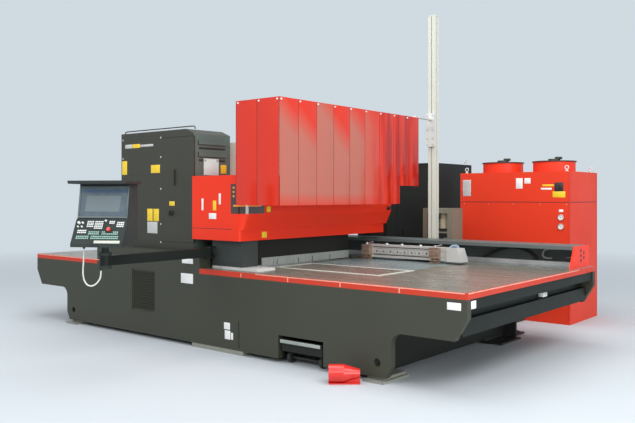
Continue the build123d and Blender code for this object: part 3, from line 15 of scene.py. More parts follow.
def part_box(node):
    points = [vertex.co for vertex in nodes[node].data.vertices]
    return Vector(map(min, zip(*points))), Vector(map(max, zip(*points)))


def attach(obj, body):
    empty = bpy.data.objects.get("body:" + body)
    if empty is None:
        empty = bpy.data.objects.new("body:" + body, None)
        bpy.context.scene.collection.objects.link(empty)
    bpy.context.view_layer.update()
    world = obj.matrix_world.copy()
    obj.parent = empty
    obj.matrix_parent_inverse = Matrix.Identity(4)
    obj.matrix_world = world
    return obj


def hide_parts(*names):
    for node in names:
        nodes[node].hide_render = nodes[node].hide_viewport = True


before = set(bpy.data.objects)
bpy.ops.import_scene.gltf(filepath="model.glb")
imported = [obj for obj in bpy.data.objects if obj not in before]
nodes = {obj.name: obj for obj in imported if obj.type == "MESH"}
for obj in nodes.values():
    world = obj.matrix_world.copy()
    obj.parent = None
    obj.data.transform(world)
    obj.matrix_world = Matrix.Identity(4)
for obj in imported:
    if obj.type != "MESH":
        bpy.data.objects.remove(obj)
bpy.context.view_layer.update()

# %% [markdown]
# ## The camera
# The photograph was taken level, at about eye height, from the front right corner. The bed's long
# edges and short edges give the camera's place and lens. A level camera keeps upright edges upright,
# so the horizon is put right by a small lens shift and not by tilting.

# %% Camera
image_size = (635, 423)
scene = bpy.context.scene
camera = bpy.data.objects.new("camera", bpy.data.cameras.new("camera"))
scene.collection.objects.link(camera)
camera.location = (5.517, -6.184, 1.4825)
camera.rotation_euler = (radians(90), 0, radians(39.46))
camera.data.lens = 41.76
camera.data.sensor_width = 36.0
camera.data.shift_y = -0.0239
camera.data.clip_end = 200.0
scene.camera = camera
scene.view_settings.view_transform = "Standard"
print("camera for an image of", image_size)

# %% [markdown]
# ## Finishes
# A painted panel is never one flat colour: handling and dust make it lighter and darker in broad
# patches, and the spray leaves a fine skin. These effects are node groups, built once and placed in
# each material with its own values. They read object coordinates, so a finish stays on its piece
# when the piece moves.


# %% Node group helpers
def new_group(name, inputs, outputs):
    """A shader node group with named sockets, and its input and output nodes."""
    group = bpy.data.node_groups.new(name, "ShaderNodeTree")
    for label, kind, value in inputs:
        socket = group.interface.new_socket(label, in_out="INPUT", socket_type=kind)
        socket.default_value = value
    for label, kind in outputs:
        group.interface.new_socket(label, in_out="OUTPUT", socket_type=kind)
    entry = group.nodes.new("NodeGroupInput")
    leave = group.nodes.new("NodeGroupOutput")
    return group, entry, leave


def put(tree, kind, values=None, links=None, **settings):
    """Add a node, set its plain values by socket, and link what feeds it."""
    node = tree.nodes.new(kind)
    for key, value in settings.items():
        setattr(node, key, value)
    for key, value in (values or {}).items():
        node.inputs[key].default_value = value
    for key, source in (links or {}).items():
        tree.links.new(source, node.inputs[key])
    return node


def connect(tree, source, socket):
    """Feed a socket from a number, from a colour or from another socket."""
    if isinstance(source, (int, float)):
        socket.default_value = source
    elif isinstance(source, tuple):
        socket.default_value = (*source, 1)
    else:
        tree.links.new(source, socket)


print("node helpers ready")


# %% Values, masks and colours
def math_node(tree, operation, first, second=0.0):
    """A math node on two sockets or numbers."""
    node = put(tree, "ShaderNodeMath", operation=operation)
    for index, source in enumerate((first, second)):
        connect(tree, source, node.inputs[index])
    return node.outputs[0]


def ramp(tree, source, low, high):
    """Map a value so that low becomes 0 and high becomes 1, and hold it there."""
    node = put(tree, "ShaderNodeMapRange", {"From Min": low, "From Max": high}, {"Value": source})
    return node.outputs["Result"]


def mix_colors(tree, factor, first, second):
    """Blend two colours by a factor."""
    node = put(tree, "ShaderNodeMix", data_type="RGBA")
    for key, source in ((0, factor), (6, first), (7, second)):
        connect(tree, source, node.inputs[key])
    return node.outputs[2]


def coordinates(tree, kind):
    """Where a point lies on its object, or the way its face looks."""
    return put(tree, "ShaderNodeTexCoord").outputs[kind]


def split(tree, vector):
    """The X, Y and Z of a vector."""
    return put(tree, "ShaderNodeSeparateXYZ", links={"Vector": vector}).outputs


def noise(tree, place, scale, detail=2.0, roughness=0.5):
    """A cloudy value between 0 and 1."""
    node = put(tree, "ShaderNodeTexNoise", {"Detail": detail, "Roughness": roughness}, {"Vector": place})
    connect(tree, scale, node.inputs["Scale"])
    return node.outputs["Fac"]


FLOAT, COLOR = "NodeSocketFloat", "NodeSocketColor"
print("value helpers ready")


# %% Patchy paint: broad tone and fine skin
def build_patchy():
    group, entry, leave = new_group(
        "patchy_paint",
        [
            ("Color", COLOR, (1, 1, 1, 1)),
            ("Patch Color", COLOR, (0.5, 0.5, 0.5, 1)),
            ("Patch Size", FLOAT, 0.5),
            ("Amount", FLOAT, 0.5),
            ("Roughness", FLOAT, 0.4),
        ],
        [("Color", COLOR), ("Roughness", FLOAT), ("Height", FLOAT)],
    )
    place = coordinates(group, "Object")
    frequency = math_node(group, "DIVIDE", 1.0, entry.outputs["Patch Size"])
    broad = noise(group, place, frequency, detail=6.0, roughness=0.6)
    fine = noise(group, place, math_node(group, "MULTIPLY", frequency, 140.0))
    patches = math_node(group, "MULTIPLY", ramp(group, broad, 0.35, 0.75), entry.outputs["Amount"])
    color = mix_colors(group, patches, entry.outputs["Color"], entry.outputs["Patch Color"])
    spread = math_node(group, "MULTIPLY", math_node(group, "SUBTRACT", broad, 0.5), 0.25)
    group.links.new(color, leave.inputs["Color"])
    group.links.new(math_node(group, "ADD", entry.outputs["Roughness"], spread), leave.inputs["Roughness"])
    group.links.new(fine, leave.inputs["Height"])
    return group


patchy_paint = build_patchy()
print("group", patchy_paint.name)


# %% [markdown]
# Bare steel on a table is rubbed along the way the sheet slides, and stained where coolant and rust
# have sat. Streaks come from a noise stretched along X, and stains from a broad noise with a hard edge.


# %% Rubbed steel: streaks and stains
def build_rubbed():
    group, entry, leave = new_group(
        "rubbed_steel",
        [
            ("Color", COLOR, (0.5, 0.5, 0.5, 1)),
            ("Stain Color", COLOR, (0.2, 0.15, 0.1, 1)),
            ("Stain", FLOAT, 0.5),
            ("Streak", FLOAT, 0.5),
            ("Roughness", FLOAT, 0.35),
            ("Stain Size", FLOAT, 0.4),
        ],
        [("Color", COLOR), ("Roughness", FLOAT), ("Height", FLOAT)],
    )
    place = coordinates(group, "Object")
    stretch = put(group, "ShaderNodeMapping", {"Scale": (2.0, 60.0, 60.0)}, {"Vector": place})
    streaks = noise(group, stretch.outputs[0], 1.0, detail=5.0)
    frequency = math_node(group, "DIVIDE", 1.0, entry.outputs["Stain Size"])
    cloud = noise(group, place, frequency, detail=9.0, roughness=0.68)
    stain = math_node(group, "MULTIPLY", ramp(group, cloud, 0.42, 0.66), entry.outputs["Stain"])
    rubs = ramp(group, streaks, 0.4, 0.7)
    streak = math_node(group, "MULTIPLY", rubs, entry.outputs["Streak"])
    rubbed = mix_colors(group, streak, entry.outputs["Color"], (0.62, 0.62, 0.62))
    color = mix_colors(group, stain, rubbed, entry.outputs["Stain Color"])
    rough = math_node(group, "ADD", entry.outputs["Roughness"], math_node(group, "MULTIPLY", stain, 0.25))
    group.links.new(color, leave.inputs["Color"])
    group.links.new(rough, leave.inputs["Roughness"])
    group.links.new(streaks, leave.inputs["Height"])
    return group


rubbed_steel = build_rubbed()
print("group", rubbed_steel.name)


# %% [markdown]
# The material of a finish then only picks a group and its values. Numbers that are the same all over,
# such as how glossy a clear coat is, sit on the shader itself.


# %% Material makers
def start_material(name):
    """An empty node material with its shader, and the tree to build in."""
    material = bpy.data.materials.new(name)
    material.use_nodes = True
    tree = material.node_tree
    shader = tree.nodes["Principled BSDF"]
    return material, tree, shader


def set_sockets(node, values):
    """Set a node's plain values by socket name, with _ for a space. Three numbers are a colour."""
    for key, value in values.items():
        plain = (*value, 1) if isinstance(value, tuple) else value
        node.inputs[key.replace("_", " ")].default_value = plain


def group_node(tree, group, **values):
    """Place a finish group in a material with its own values."""
    source = put(tree, "ShaderNodeGroup", node_tree=group)
    set_sockets(source, values)
    return source


def add_bump(tree, shader, height, strength):
    """Turn a height into a slight bump of the surface."""
    lift = put(tree, "ShaderNodeBump", {"Strength": strength, "Distance": 0.002}, {"Height": height})
    tree.links.new(lift.outputs["Normal"], shader.inputs["Normal"])


def feed(tree, shader, source, bump):
    """Link a finish group to a shader, with its height as a bump."""
    tree.links.new(source.outputs["Color"], shader.inputs["Base Color"])
    tree.links.new(source.outputs["Roughness"], shader.inputs["Roughness"])
    add_bump(tree, shader, source.outputs["Height"], bump)


def painted(name, color, patch, rough=0.4, amount=0.5, size=0.5, bump=0.08, coat=0.0, **values):
    """A patchy painted or moulded finish."""
    material, tree, shader = start_material(name)
    source = group_node(
        tree, patchy_paint, Color=color, Patch_Color=patch, Patch_Size=size, Amount=amount, Roughness=rough
    )
    feed(tree, shader, source, bump)
    set_sockets(shader, {"Coat Weight": coat, "Coat Roughness": 0.12, **values})
    return material


def bare_steel(name, color, stain_color, stain=0.5, streak=0.4, rough=0.35, size=0.4, metallic=0.9):
    """A rubbed bare metal finish."""
    material, tree, shader = start_material(name)
    look = {"Color": color, "Stain_Color": stain_color, "Stain": stain, "Streak": streak}
    source = group_node(tree, rubbed_steel, Roughness=rough, Stain_Size=size, **look)
    feed(tree, shader, source, bump=0.05)
    set_sockets(shader, {"Metallic": metallic})
    return material


print("material makers ready")

# %% Paints and plastics
matt = {"Specular_IOR_Level": 0.22}
satin = {"coat": 0.06, **matt}
red_paint = painted("red_paint", (0.78, 0.034, 0.009), (0.69, 0.026, 0.007), rough=0.38, size=0.9, **satin)
chiller_red = painted("chiller_red", (0.70, 0.042, 0.014), (0.60, 0.032, 0.011), rough=0.44, size=0.7, **matt)
coarse = {"rough": 0.58, "bump": 0.12}
charcoal = painted("charcoal_paint", (0.031, 0.033, 0.0195), (0.042, 0.044, 0.028), size=0.6, **coarse)
dark_sheet = ((0.027, 0.026, 0.0165), (0.037, 0.036, 0.024))
door_black = painted("door_black", *dark_sheet, rough=0.52, bump=0.12)
frame_black = painted("frame_black", (0.012, 0.013, 0.011), (0.018, 0.019, 0.016), rough=0.5, **matt)
beam_green = painted("beam_green", (0.006, 0.009, 0.007), (0.010, 0.014, 0.011), rough=0.5, size=0.6, **matt)
rail_grey = painted("rail_grey", (0.10, 0.125, 0.12), (0.07, 0.09, 0.086), rough=0.5, size=0.4)
cream = painted("cream_paint", (0.56, 0.57, 0.50), (0.49, 0.50, 0.43), rough=0.4, size=0.35)
white_paint = painted("white_paint", (0.17, 0.16, 0.12), (0.135, 0.125, 0.095), rough=0.42, size=0.4)
grained = {"rough": 0.5, "bump": 0.2}
black_plastic = painted("black_plastic", (0.018, 0.018, 0.019), (0.03, 0.03, 0.03), size=0.1, **grained)
dull = {"rough": 0.6, "bump": 0.15, "Specular_IOR_Level": 0.08}
console_grey = painted("console_grey", (0.034, 0.043, 0.041), (0.05, 0.06, 0.057), size=0.15, **dull)
# Painted light: a white plate tinted cyan against the red light thrown back by the strips and the cover.
plate_tinted_against_red_light = painted("plate_tinted_against_red_light", (0.60, 0.80, 0.78), (0.54, 0.72, 0.70), rough=0.35, size=0.06)
yellow_plate = painted("yellow_plate", (0.80, 0.55, 0.02), (0.72, 0.46, 0.02), rough=0.35, size=0.06)
white_plate = painted("white_plate", (0.78, 0.78, 0.76), (0.68, 0.68, 0.66), rough=0.35, size=0.06)
red_plastic = painted("red_plastic", (0.62, 0.018, 0.012), (0.5, 0.014, 0.01), rough=0.3, size=0.05, coat=0.3)
rubber = painted("rubber", (0.02, 0.02, 0.02), (0.035, 0.035, 0.033), rough=0.75, size=0.05, bump=0.3)
cord_white = painted("cord_white", (0.74, 0.74, 0.72), (0.6, 0.6, 0.57), rough=0.55, size=0.05)
hose_grey = painted("hose_grey", (0.5, 0.5, 0.49), (0.4, 0.4, 0.39), rough=0.5, size=0.05)
filter_beige = painted("filter_beige", (0.55, 0.47, 0.33), (0.45, 0.37, 0.25), rough=0.5, size=0.05)
console_trim = painted("console_trim", (0.085, 0.105, 0.108), (0.12, 0.14, 0.145), rough=0.35, size=0.1)
key_green = painted("key_green", (0.24, 0.42, 0.36), (0.32, 0.48, 0.42), rough=0.4, size=0.03)
scuffed = {"amount": 0.8, **matt}
edge_red = painted("edge_red", (0.56, 0.036, 0.014), (0.40, 0.055, 0.032), rough=0.45, size=0.15, **scuffed)
worn_red = painted("worn_red", (0.80, 0.36, 0.28), (0.72, 0.16, 0.10), rough=0.4, amount=0.8, size=0.05)
blue_plastic = painted("blue_plastic", (0.30, 0.42, 0.54), (0.38, 0.50, 0.6), rough=0.35, size=0.05)
print("paints", len(bpy.data.materials))

# %% Metals
aluminium = bare_steel(
    "aluminium", (0.66, 0.66, 0.62), (0.44, 0.43, 0.40), stain=0.3, rough=0.34, size=0.2, metallic=0.45
)
plain_steel = bare_steel(
    "plain_steel", (0.50, 0.50, 0.49), (0.28, 0.26, 0.23), stain=0.35, rough=0.32, size=0.15, metallic=0.6
)
dull_metal = {"rough": 0.45, "metallic": 0.2}
pale_strip = bare_steel(
    "pale_strip", (0.30, 0.33, 0.31), (0.18, 0.19, 0.17), stain=0.4, streak=0.2, size=0.3, **dull_metal
)
clamp_bronze = bare_steel(
    "clamp_bronze", (0.30, 0.18, 0.11), (0.13, 0.085, 0.055), stain=0.6, rough=0.4, size=0.05, metallic=0.5
)
print("paints and metals", len(bpy.data.materials))


# %% [markdown]
# The table is worn brown-grey along its front and blue-grey by the chute and the rail. Position in the
# object gives the mask between the two tones, because they meet in the middle of a solid.


# %% Table steel
def inside_mask(tree, place, axis, low, high, soft=0.004):
    """A mask that is 1 between two values of one coordinate."""
    value = split(tree, place)[axis]
    above, below = ramp(tree, value, low, low + soft), ramp(tree, value, high, high - soft)
    return math_node(tree, "MULTIPLY", above, below)


def feed_two(tree, shader, mask, sources):
    """Link two finish groups to a shader, with a mask between their colours."""
    color = mix_colors(tree, mask, sources[0].outputs["Color"], sources[1].outputs["Color"])
    tree.links.new(color, shader.inputs["Base Color"])
    tree.links.new(sources[0].outputs["Roughness"], shader.inputs["Roughness"])


def build_table_steel():
    material, tree, shader = start_material("table_steel")
    place = coordinates(tree, "Object")
    along = inside_mask(tree, place, "X", 0.55, 1.75)
    across = inside_mask(tree, place, "Y", -0.25, 1.35)
    behind = inside_mask(tree, place, "Y", 0.95, 1.36)
    mask = math_node(tree, "MAXIMUM", math_node(tree, "MULTIPLY", along, across), behind)
    sources = []
    for color, stain_color, stain, streak in (
        ((0.20, 0.185, 0.138), (0.085, 0.080, 0.058), 0.55, 0.35),
        ((0.21, 0.30, 0.305), (0.12, 0.165, 0.165), 0.4, 0.42),
    ):
        look = {"Color": color, "Stain_Color": stain_color, "Stain": stain, "Streak": streak}
        sources.append(group_node(tree, rubbed_steel, Roughness=0.27, Stain_Size=0.09, **look))
    feed_two(tree, shader, mask, sources)
    add_bump(tree, shader, sources[0].outputs["Height"], 0.06)
    set_sockets(shader, {"Metallic": 0.4})
    return material


table_steel = build_table_steel()
print("material", table_steel.name)


# %% [markdown]
# Three painted solids carry two tones each. The bridge column has a pale foot plate. The faces of the laser
# cabinet that look along +X are painted paler than its front, painted light on a side that the strips
# shade, and the foot plates behind are painted near black, painted shade under and behind the machine,
# while those in front stay paler. A mask from the place, or from the way the face looks, picks one of
# two patchy paints.


# %% Two tones: paint, painted light and painted shade
def mix_tones(tree, shader, mask, tones, size):
    """Two patchy paints on one shader, with a mask between them."""
    sources = []
    for color, patch in tones:
        look = {"Color": color, "Patch_Color": patch, "Patch_Size": size}
        sources.append(group_node(tree, patchy_paint, Roughness=0.52, **look))
    feed_two(tree, shader, mask, sources)


def build_cabinet():
    material, tree, shader = start_material("laser_cabinet_paint")
    facing = split(tree, coordinates(tree, "Normal"))
    mask = ramp(tree, facing["X"], 0.5, 0.9)
    # Painted light: the faces that look along +X get a paler tone for light that the strips keep off that
    # side.
    painted_lit_side = ((0.085, 0.12, 0.105), (0.10, 0.138, 0.12))
    mix_tones(tree, shader, mask, (dark_sheet, painted_lit_side), 0.5)
    return material


def build_column():
    material, tree, shader = start_material("column_and_foot")
    foot = inside_mask(tree, coordinates(tree, "Object"), "Z", 0.7, 0.8005, soft=0.0005)
    dark = ((0.024, 0.031, 0.028), (0.036, 0.044, 0.040))
    pale = ((0.62, 0.62, 0.6), (0.48, 0.48, 0.46))
    mix_tones(tree, shader, foot, (dark, pale), 0.25)
    return material


def build_pads():
    material, tree, shader = start_material("pad_paint")
    behind = inside_mask(tree, coordinates(tree, "Object"), "Y", -0.5, 3.0)
    front = ((0.24, 0.245, 0.21), (0.15, 0.155, 0.13))
    # Painted shade: the foot plates behind get a near black tone for the shade under and behind the machine.
    rear = ((0.011, 0.012, 0.010), (0.018, 0.019, 0.016))
    mix_tones(tree, shader, behind, (front, rear), 0.12)
    return material


column_and_foot = build_column()
pad_paint = build_pads()
cabinet_paint = build_cabinet()
print("materials", column_and_foot.name, cabinet_paint.name, pad_paint.name)


# %% [markdown]
# The hanging strips are glossy red plastic that lets a little light through. A weak transmission with
# a coat gives some bright streaks without turning the strips into clear glass. The broad pale tone on the
# side strips is a painted highlight in their colour, and dark bars on the far strips are painted shade.


# %% Strip plastic
first_strip_y, strip_pitch = -1.33, 0.26
first_strip_x, front_pitch = 0.535, 0.2725


def strip_share(tree, value, first, pitch):
    """How far across its strip a point lies, from 0 at one edge to 1 at the other."""
    steps = math_node(tree, "DIVIDE", math_node(tree, "SUBTRACT", value, first), pitch)
    return math_node(tree, "FRACT", steps)


def build_strip_plastic():
    material, tree, shader = start_material("strip_plastic")
    place = coordinates(tree, "Object")
    parts = split(tree, place)
    side = ramp(tree, split(tree, coordinates(tree, "Normal"))["X"], 0.4, 0.6)
    along_y = strip_share(tree, parts["Y"], first_strip_y, strip_pitch)
    along_x = strip_share(tree, parts["X"], first_strip_x, front_pitch)
    share = put(tree, "ShaderNodeMix", links={0: side, 2: along_x, 3: along_y}).outputs[0]
    from_middle = math_node(tree, "ABSOLUTE", math_node(tree, "SUBTRACT", share, 0.5))
    bow = math_node(tree, "MULTIPLY", math_node(tree, "POWER", from_middle, 2.0), -0.035)
    seam = ramp(tree, from_middle, 0.482, 0.496)
    wave = math_node(tree, "MULTIPLY", noise(tree, place, 1.5, detail=1.5, roughness=0.4), 0.010)
    from_first = math_node(tree, "SUBTRACT", parts["Y"], first_strip_y)
    number = math_node(tree, "FLOOR", math_node(tree, "DIVIDE", from_first, strip_pitch))
    swing = math_node(tree, "SINE", math_node(tree, "MULTIPLY", number, 2.4))
    tilt = math_node(tree, "MULTIPLY", swing, 0.16)
    lean = math_node(tree, "MULTIPLY", along_y, 0.22)
    height = math_node(tree, "ADD", parts["Z"], math_node(tree, "ADD", tilt, lean))
    # The pale tone mixed in below is a painted highlight on the +X strips, under the hem, above the foot and
    # towards the near end.
    below_hem = ramp(tree, math_node(tree, "ADD", height, wave), 2.46, 2.20)
    above_foot = ramp(tree, parts["Z"], 1.36, 1.52)
    near_end = ramp(tree, parts["Y"], 0.30, -0.15)
    between = math_node(tree, "MULTIPLY", below_hem, above_foot)
    painted_sheen = math_node(tree, "MULTIPLY", between, math_node(tree, "MULTIPLY", side, near_end))
    tone = mix_colors(tree, painted_sheen, (0.64, 0.030, 0.012), (0.45, 0.140, 0.102))
    # The darker red mixed in below is painted shade: upright bars on the far +X strips where the dark
    # background shows through.
    stretch = put(tree, "ShaderNodeMapping", {"Scale": (9.0, 9.0, 0.7)}, {"Vector": place})
    bars = noise(tree, stretch.outputs[0], 1.0)
    far_end = math_node(tree, "MULTIPLY", side, ramp(tree, parts["Y"], 0.05, 0.35))
    streaks = math_node(tree, "MULTIPLY", ramp(tree, bars, 0.46, 0.60), far_end)
    tone = mix_colors(tree, streaks, tone, (0.36, 0.014, 0.009))
    tone = mix_colors(tree, seam, tone, (0.24, 0.014, 0.009))
    tree.links.new(tone, shader.inputs["Base Color"])
    relief = math_node(tree, "ADD", bow, wave)
    lift = put(tree, "ShaderNodeBump", {"Strength": 1.0, "Distance": 1.0}, {"Height": relief})
    tree.links.new(lift.outputs["Normal"], shader.inputs["Normal"])
    gloss = {"Roughness": 0.16, "Specular IOR Level": 0.3, "Coat Weight": 0.15, "Coat Roughness": 0.06}
    set_sockets(shader, {"Transmission Weight": 0.10, **gloss})
    return material


strip_plastic = build_strip_plastic()
print("material", strip_plastic.name)


# %% [markdown]
# The screen glows a little by itself: a dark picture with a paler panel and a title bar. Masks in the
# screen's own width and height draw them, and the same colour feeds the base and a weak emission.


# %% Screen glass and lamps
def build_screen_glass():
    material, tree, shader = start_material("screen_glass")
    place = coordinates(tree, "Generated")
    tall = inside_mask(tree, place, "Z", 0.16, 0.74, soft=0.02)
    panel = math_node(tree, "MULTIPLY", tall, inside_mask(tree, place, "X", 0.14, 0.86, soft=0.02))
    bar = inside_mask(tree, place, "Z", 0.82, 0.94, soft=0.02)
    drift = ramp(tree, noise(tree, place, 5.0), 0.3, 0.7)
    tone = mix_colors(tree, drift, (0.060, 0.085, 0.105), (0.085, 0.11, 0.13))
    tone = mix_colors(tree, panel, tone, (0.12, 0.15, 0.16))
    tone = mix_colors(tree, bar, tone, (0.045, 0.08, 0.13))
    tree.links.new(tone, shader.inputs["Base Color"])
    tree.links.new(tone, shader.inputs["Emission Color"])
    set_sockets(shader, {"Emission Strength": 0.25, "Roughness": 0.3, "Specular IOR Level": 0.3})
    return material


screen_glass = build_screen_glass()
dark_lens = painted("dark_lens", (0.03, 0.012, 0.01), (0.05, 0.02, 0.014), rough=0.1, size=0.1, coat=0.8)
amber_lamp = painted("amber_lamp", (0.85, 0.30, 0.03), (0.75, 0.2, 0.02), rough=0.2, size=0.05, coat=0.4)
print("glass and lamps", screen_glass.name, dark_lens.name, amber_lamp.name)

# %% [markdown]
# ## Giving each solid its finish
# Each solid of the machine was painted, moulded or left bare before it was put together. A table from
# finish to solids keeps all those choices in one place, where they are easy to compare and to change.

# %% Assign the finishes
finishes = {
    red_paint: "cover_upper cover_skirt rail_ends",
    edge_red: "edge_strips",
    chiller_red: "chiller_body",
    charcoal: "front_panel rear_panel front_housing floor_ducts vent_louvre",
    frame_black: "cross_walls rear_column bridge_beam lower_guard control_cabinet control_door cart_tray",
    beam_green: "end_frames console_arm arm_bracket",
    rail_grey: "rail_cover",
    pad_paint: "foot_plates",
    cabinet_paint: "laser_cabinet",
    door_black: "laser_door",
    column_and_foot: "front_column",
    table_steel: "table_right table_left chute_door",
    pale_strip: "sheet_skirt",
    plain_steel: "guide_rails clamp_lever_left clamp_lever_right",
    aluminium: "carriage_beam carriage_saddle cross_carriage cutting_head laser_tubes mast_bracket "
    "guard_frame",
    clamp_bronze: "clamp_bodies clamp_jaw_left clamp_jaw_right",
    cream: "mast_post beam_duct chute_frame",
    white_paint: "supply_stand",
    filter_beige: "supply_filters",
    console_grey: "console_body",
    black_plastic: "laser_switch chiller_switch chiller_fan_left chiller_fan_right foot_pedal",
    rubber: "cart_front_axle cart_rear_axle",
    red_plastic: "foot_hood stop_button",
    screen_glass: "console_screen",
    strip_plastic: "guard_strips",
    cord_white: "console_cord",
}
for material, names in finishes.items():
    for name in names.split():
        nodes[name].data.materials.clear()
        nodes[name].data.materials.append(material)
print("finished solids", sum(len(names.split()) for names in finishes.values()))

# %% [markdown]
# Real sheet metal has no razor edges. A bevel modifier of a few millimetres on the larger solids gives
# each fold and corner the thin highlight that the eye reads as a real edge. The angle limit leaves the
# facets of round shapes alone.

# %% Soft edges
soft_edges = {
    0.006: "front_panel laser_cabinet laser_door front_housing chiller_body control_cabinet supply_stand "
    "front_column",
    0.003: "cover_upper cover_skirt rail_cover end_frames table_right table_left edge_strips mast_post "
    "console_body console_arm carriage_beam clamp_bodies rail_ends beam_duct foot_plates lower_guard",
}
for width, names in soft_edges.items():
    for name in names.split():
        edge = nodes[name].modifiers.new("soft_edges", "BEVEL")
        edge.width = width
        edge.segments = 2
        edge.limit_method = "ANGLE"
        edge.angle_limit = radians(35)
print("softened solids", sum(len(names.split()) for names in soft_edges.values()))

# %% [markdown]
# ## The console's cord
# A white cord drops from a gland under the console, hangs in a short loop and goes back up to the
# console's collar. It is a smooth NURBS line, with the points of the solid's route as its control
# points, so it bends as evenly as a real cord and still lies where the solid does.

# %% Console cord
console_place = Matrix.Translation((0.09, -2.46, 0)) @ Matrix.Rotation(radians(30), 4, "Z")
cord_points = [
    (-0.205, 0.020, 1.030), (-0.205, 0.020, 0.960), (-0.211, 0.019, 0.885), (-0.213, 0.017, 0.812),
    (-0.200, 0.015, 0.752), (-0.170, 0.013, 0.714), (-0.126, 0.010, 0.706), (-0.084, 0.006, 0.728),
    (-0.051, 0.002, 0.766), (-0.038, 0.000, 0.806), (-0.038, 0.000, 0.845),
]
cord_curve = bpy.data.curves.new("console_cord_line", "CURVE")
cord_curve.dimensions = "3D"
cord_curve.bevel_depth = 0.0065
cord_curve.bevel_resolution = 4
line = cord_curve.splines.new("NURBS")
line.points.add(len(cord_points) - 1)
for point, place in zip(line.points, cord_points):
    point.co = (*(console_place @ Vector(place)), 1)
line.order_u = 3
line.use_endpoint_u = True
line.resolution_u = 8
cord_curve.use_fill_caps = True
cord_piece = bpy.data.objects.new("console_cord_line", cord_curve)
scene.collection.objects.link(cord_piece)
cord_piece.data.materials.append(cord_white)
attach(cord_piece, "console")
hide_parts("console_cord")
print("cord points", len(cord_points))

# %% [markdown]
# ## Small pieces
# Plates, studs, keys and guards are drawn in mesh code. A few helpers add one shape at a time to a
# mesh that is still being made: a block, a rod, a ring. One finished mesh then becomes one piece,
# which rides on the body that carries it.

# %% Mesh helpers
to_front, to_right, upwards = Vector((0, -1, 0)), Vector((1, 0, 0)), Vector((0, 0, 1))


def add_block(mesh, low, high, soft=0.0, place=None):
    """A block between two corners, with softened edges, put somewhere by a matrix."""
    low, high = Vector(low), Vector(high)
    size = high - low
    verts = bmesh.ops.create_cube(mesh, size=1.0)["verts"]
    shape = Matrix.Translation((low + high) / 2) @ Matrix.Diagonal((*size, 1))
    bmesh.ops.transform(mesh, matrix=(place or Matrix()) @ shape, verts=verts)
    if soft:
        edges = list({edge for vert in verts for edge in vert.link_edges})
        soft = min(soft, 0.45 * min(size))
        bmesh.ops.bevel(mesh, geom=edges, offset=soft, segments=2, profile=0.5, affect="EDGES")


def add_rod(mesh, start, end, radius, tip=None, sides=24, soft=0.0):
    """A round bar or cone between two points, with softened rims."""
    start, end = Vector(start), Vector(end)
    along = end - start
    turn = upwards.rotation_difference(along).to_matrix().to_4x4()
    shape = bmesh.ops.create_cone(
        mesh,
        cap_ends=True,
        segments=sides,
        radius1=radius,
        radius2=radius if tip is None else tip,
        depth=along.length,
        matrix=Matrix.Translation((start + end) / 2) @ turn,
    )
    if soft:
        faces = {face for vert in shape["verts"] for face in vert.link_faces}
        rims = list({edge for face in faces if len(face.verts) == sides for edge in face.edges})
        bmesh.ops.bevel(mesh, geom=rims, offset=soft, segments=2, profile=0.5, affect="EDGES")


def add_boss(mesh, foot, way, height, radius, **shape):
    """A rod that stands out from a face by its height."""
    foot = Vector(foot)
    add_rod(mesh, foot, foot + way * height, radius, **shape)


def join_loops(mesh, first, second):
    """Faces between two closed loops of points."""
    for part in range(len(first)):
        after = (part + 1) % len(first)
        mesh.faces.new((first[part], second[part], second[after], first[after]))


def add_ring(mesh, centre, axis, radius, thickness, sides=40, around=10):
    """A round wire bent into a ring."""
    turn = upwards.rotation_difference(Vector(axis)).to_matrix()
    loops = []
    for step in range(sides):
        angle = 2 * pi * step / sides
        out = Vector((cos(angle), sin(angle), 0))
        loop = []
        for part in range(around):
            lean = 2 * pi * part / around
            point = out * (radius + thickness * cos(lean)) + Vector((0, 0, thickness * sin(lean)))
            loop.append(mesh.verts.new(Vector(centre) + turn @ point))
        loops.append(loop)
    for step in range(sides):
        join_loops(mesh, loops[step], loops[(step + 1) % sides])


def add_pipe(mesh, points, radius, sides=10, steps=6):
    """A bent pipe whose bends are smooth curves between the middles of its straight runs."""
    points = [Vector(point) for point in points]
    line = [points[0]]
    for before, corner, after in zip(points, points[1:], points[2:]):
        start, end = (before + corner) / 2, (corner + after) / 2
        for step in range(steps + 1):
            share = step / steps
            line.append(start * (1 - share) ** 2 + corner * 2 * share * (1 - share) + end * share ** 2)
    line.append(points[-1])
    loops = []
    side = (line[1] - line[0]).orthogonal().normalized()
    for index, point in enumerate(line):
        along = (line[min(index + 1, len(line) - 1)] - line[max(index - 1, 0)]).normalized()
        side = (side - along * side.dot(along)).normalized()
        across = along.cross(side)
        loop = []
        for part in range(sides):
            turn = 2 * pi * part / sides
            loop.append(mesh.verts.new(point + (side * cos(turn) + across * sin(turn)) * radius))
        loops.append(loop)
    for first, second in zip(loops, loops[1:]):
        join_loops(mesh, first, second)
    mesh.faces.new(loops[0])
    mesh.faces.new(loops[-1][::-1])


def finish_piece(name, mesh, body, material, smooth=40):
    """Turn a mesh that has been built into a piece on a body."""
    bmesh.ops.recalc_face_normals(mesh, faces=mesh.faces)
    data = bpy.data.meshes.new(name)
    mesh.to_mesh(data)
    mesh.free()
    for face in data.polygons:
        face.use_smooth = True
    data.set_sharp_from_angle(angle=radians(smooth))
    data.materials.append(material)
    piece = bpy.data.objects.new(name, data)
    scene.collection.objects.link(piece)
    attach(piece, body)
    return piece


print("mesh helpers ready")


# %% [markdown]
# A plate is a thin block that lies on a face. The faces of the machine look along -Y or +X, so a plate
# needs only its place on the face, its width, its height and the face it lies on.


# %% Plates
plate_thickness = 0.0015


def add_front_plate(mesh, left, right, low, high, face, thick=plate_thickness):
    """A plate on a face that looks along -Y."""
    add_block(mesh, (left, face - thick, low), (right, face, high), soft=0.0006)


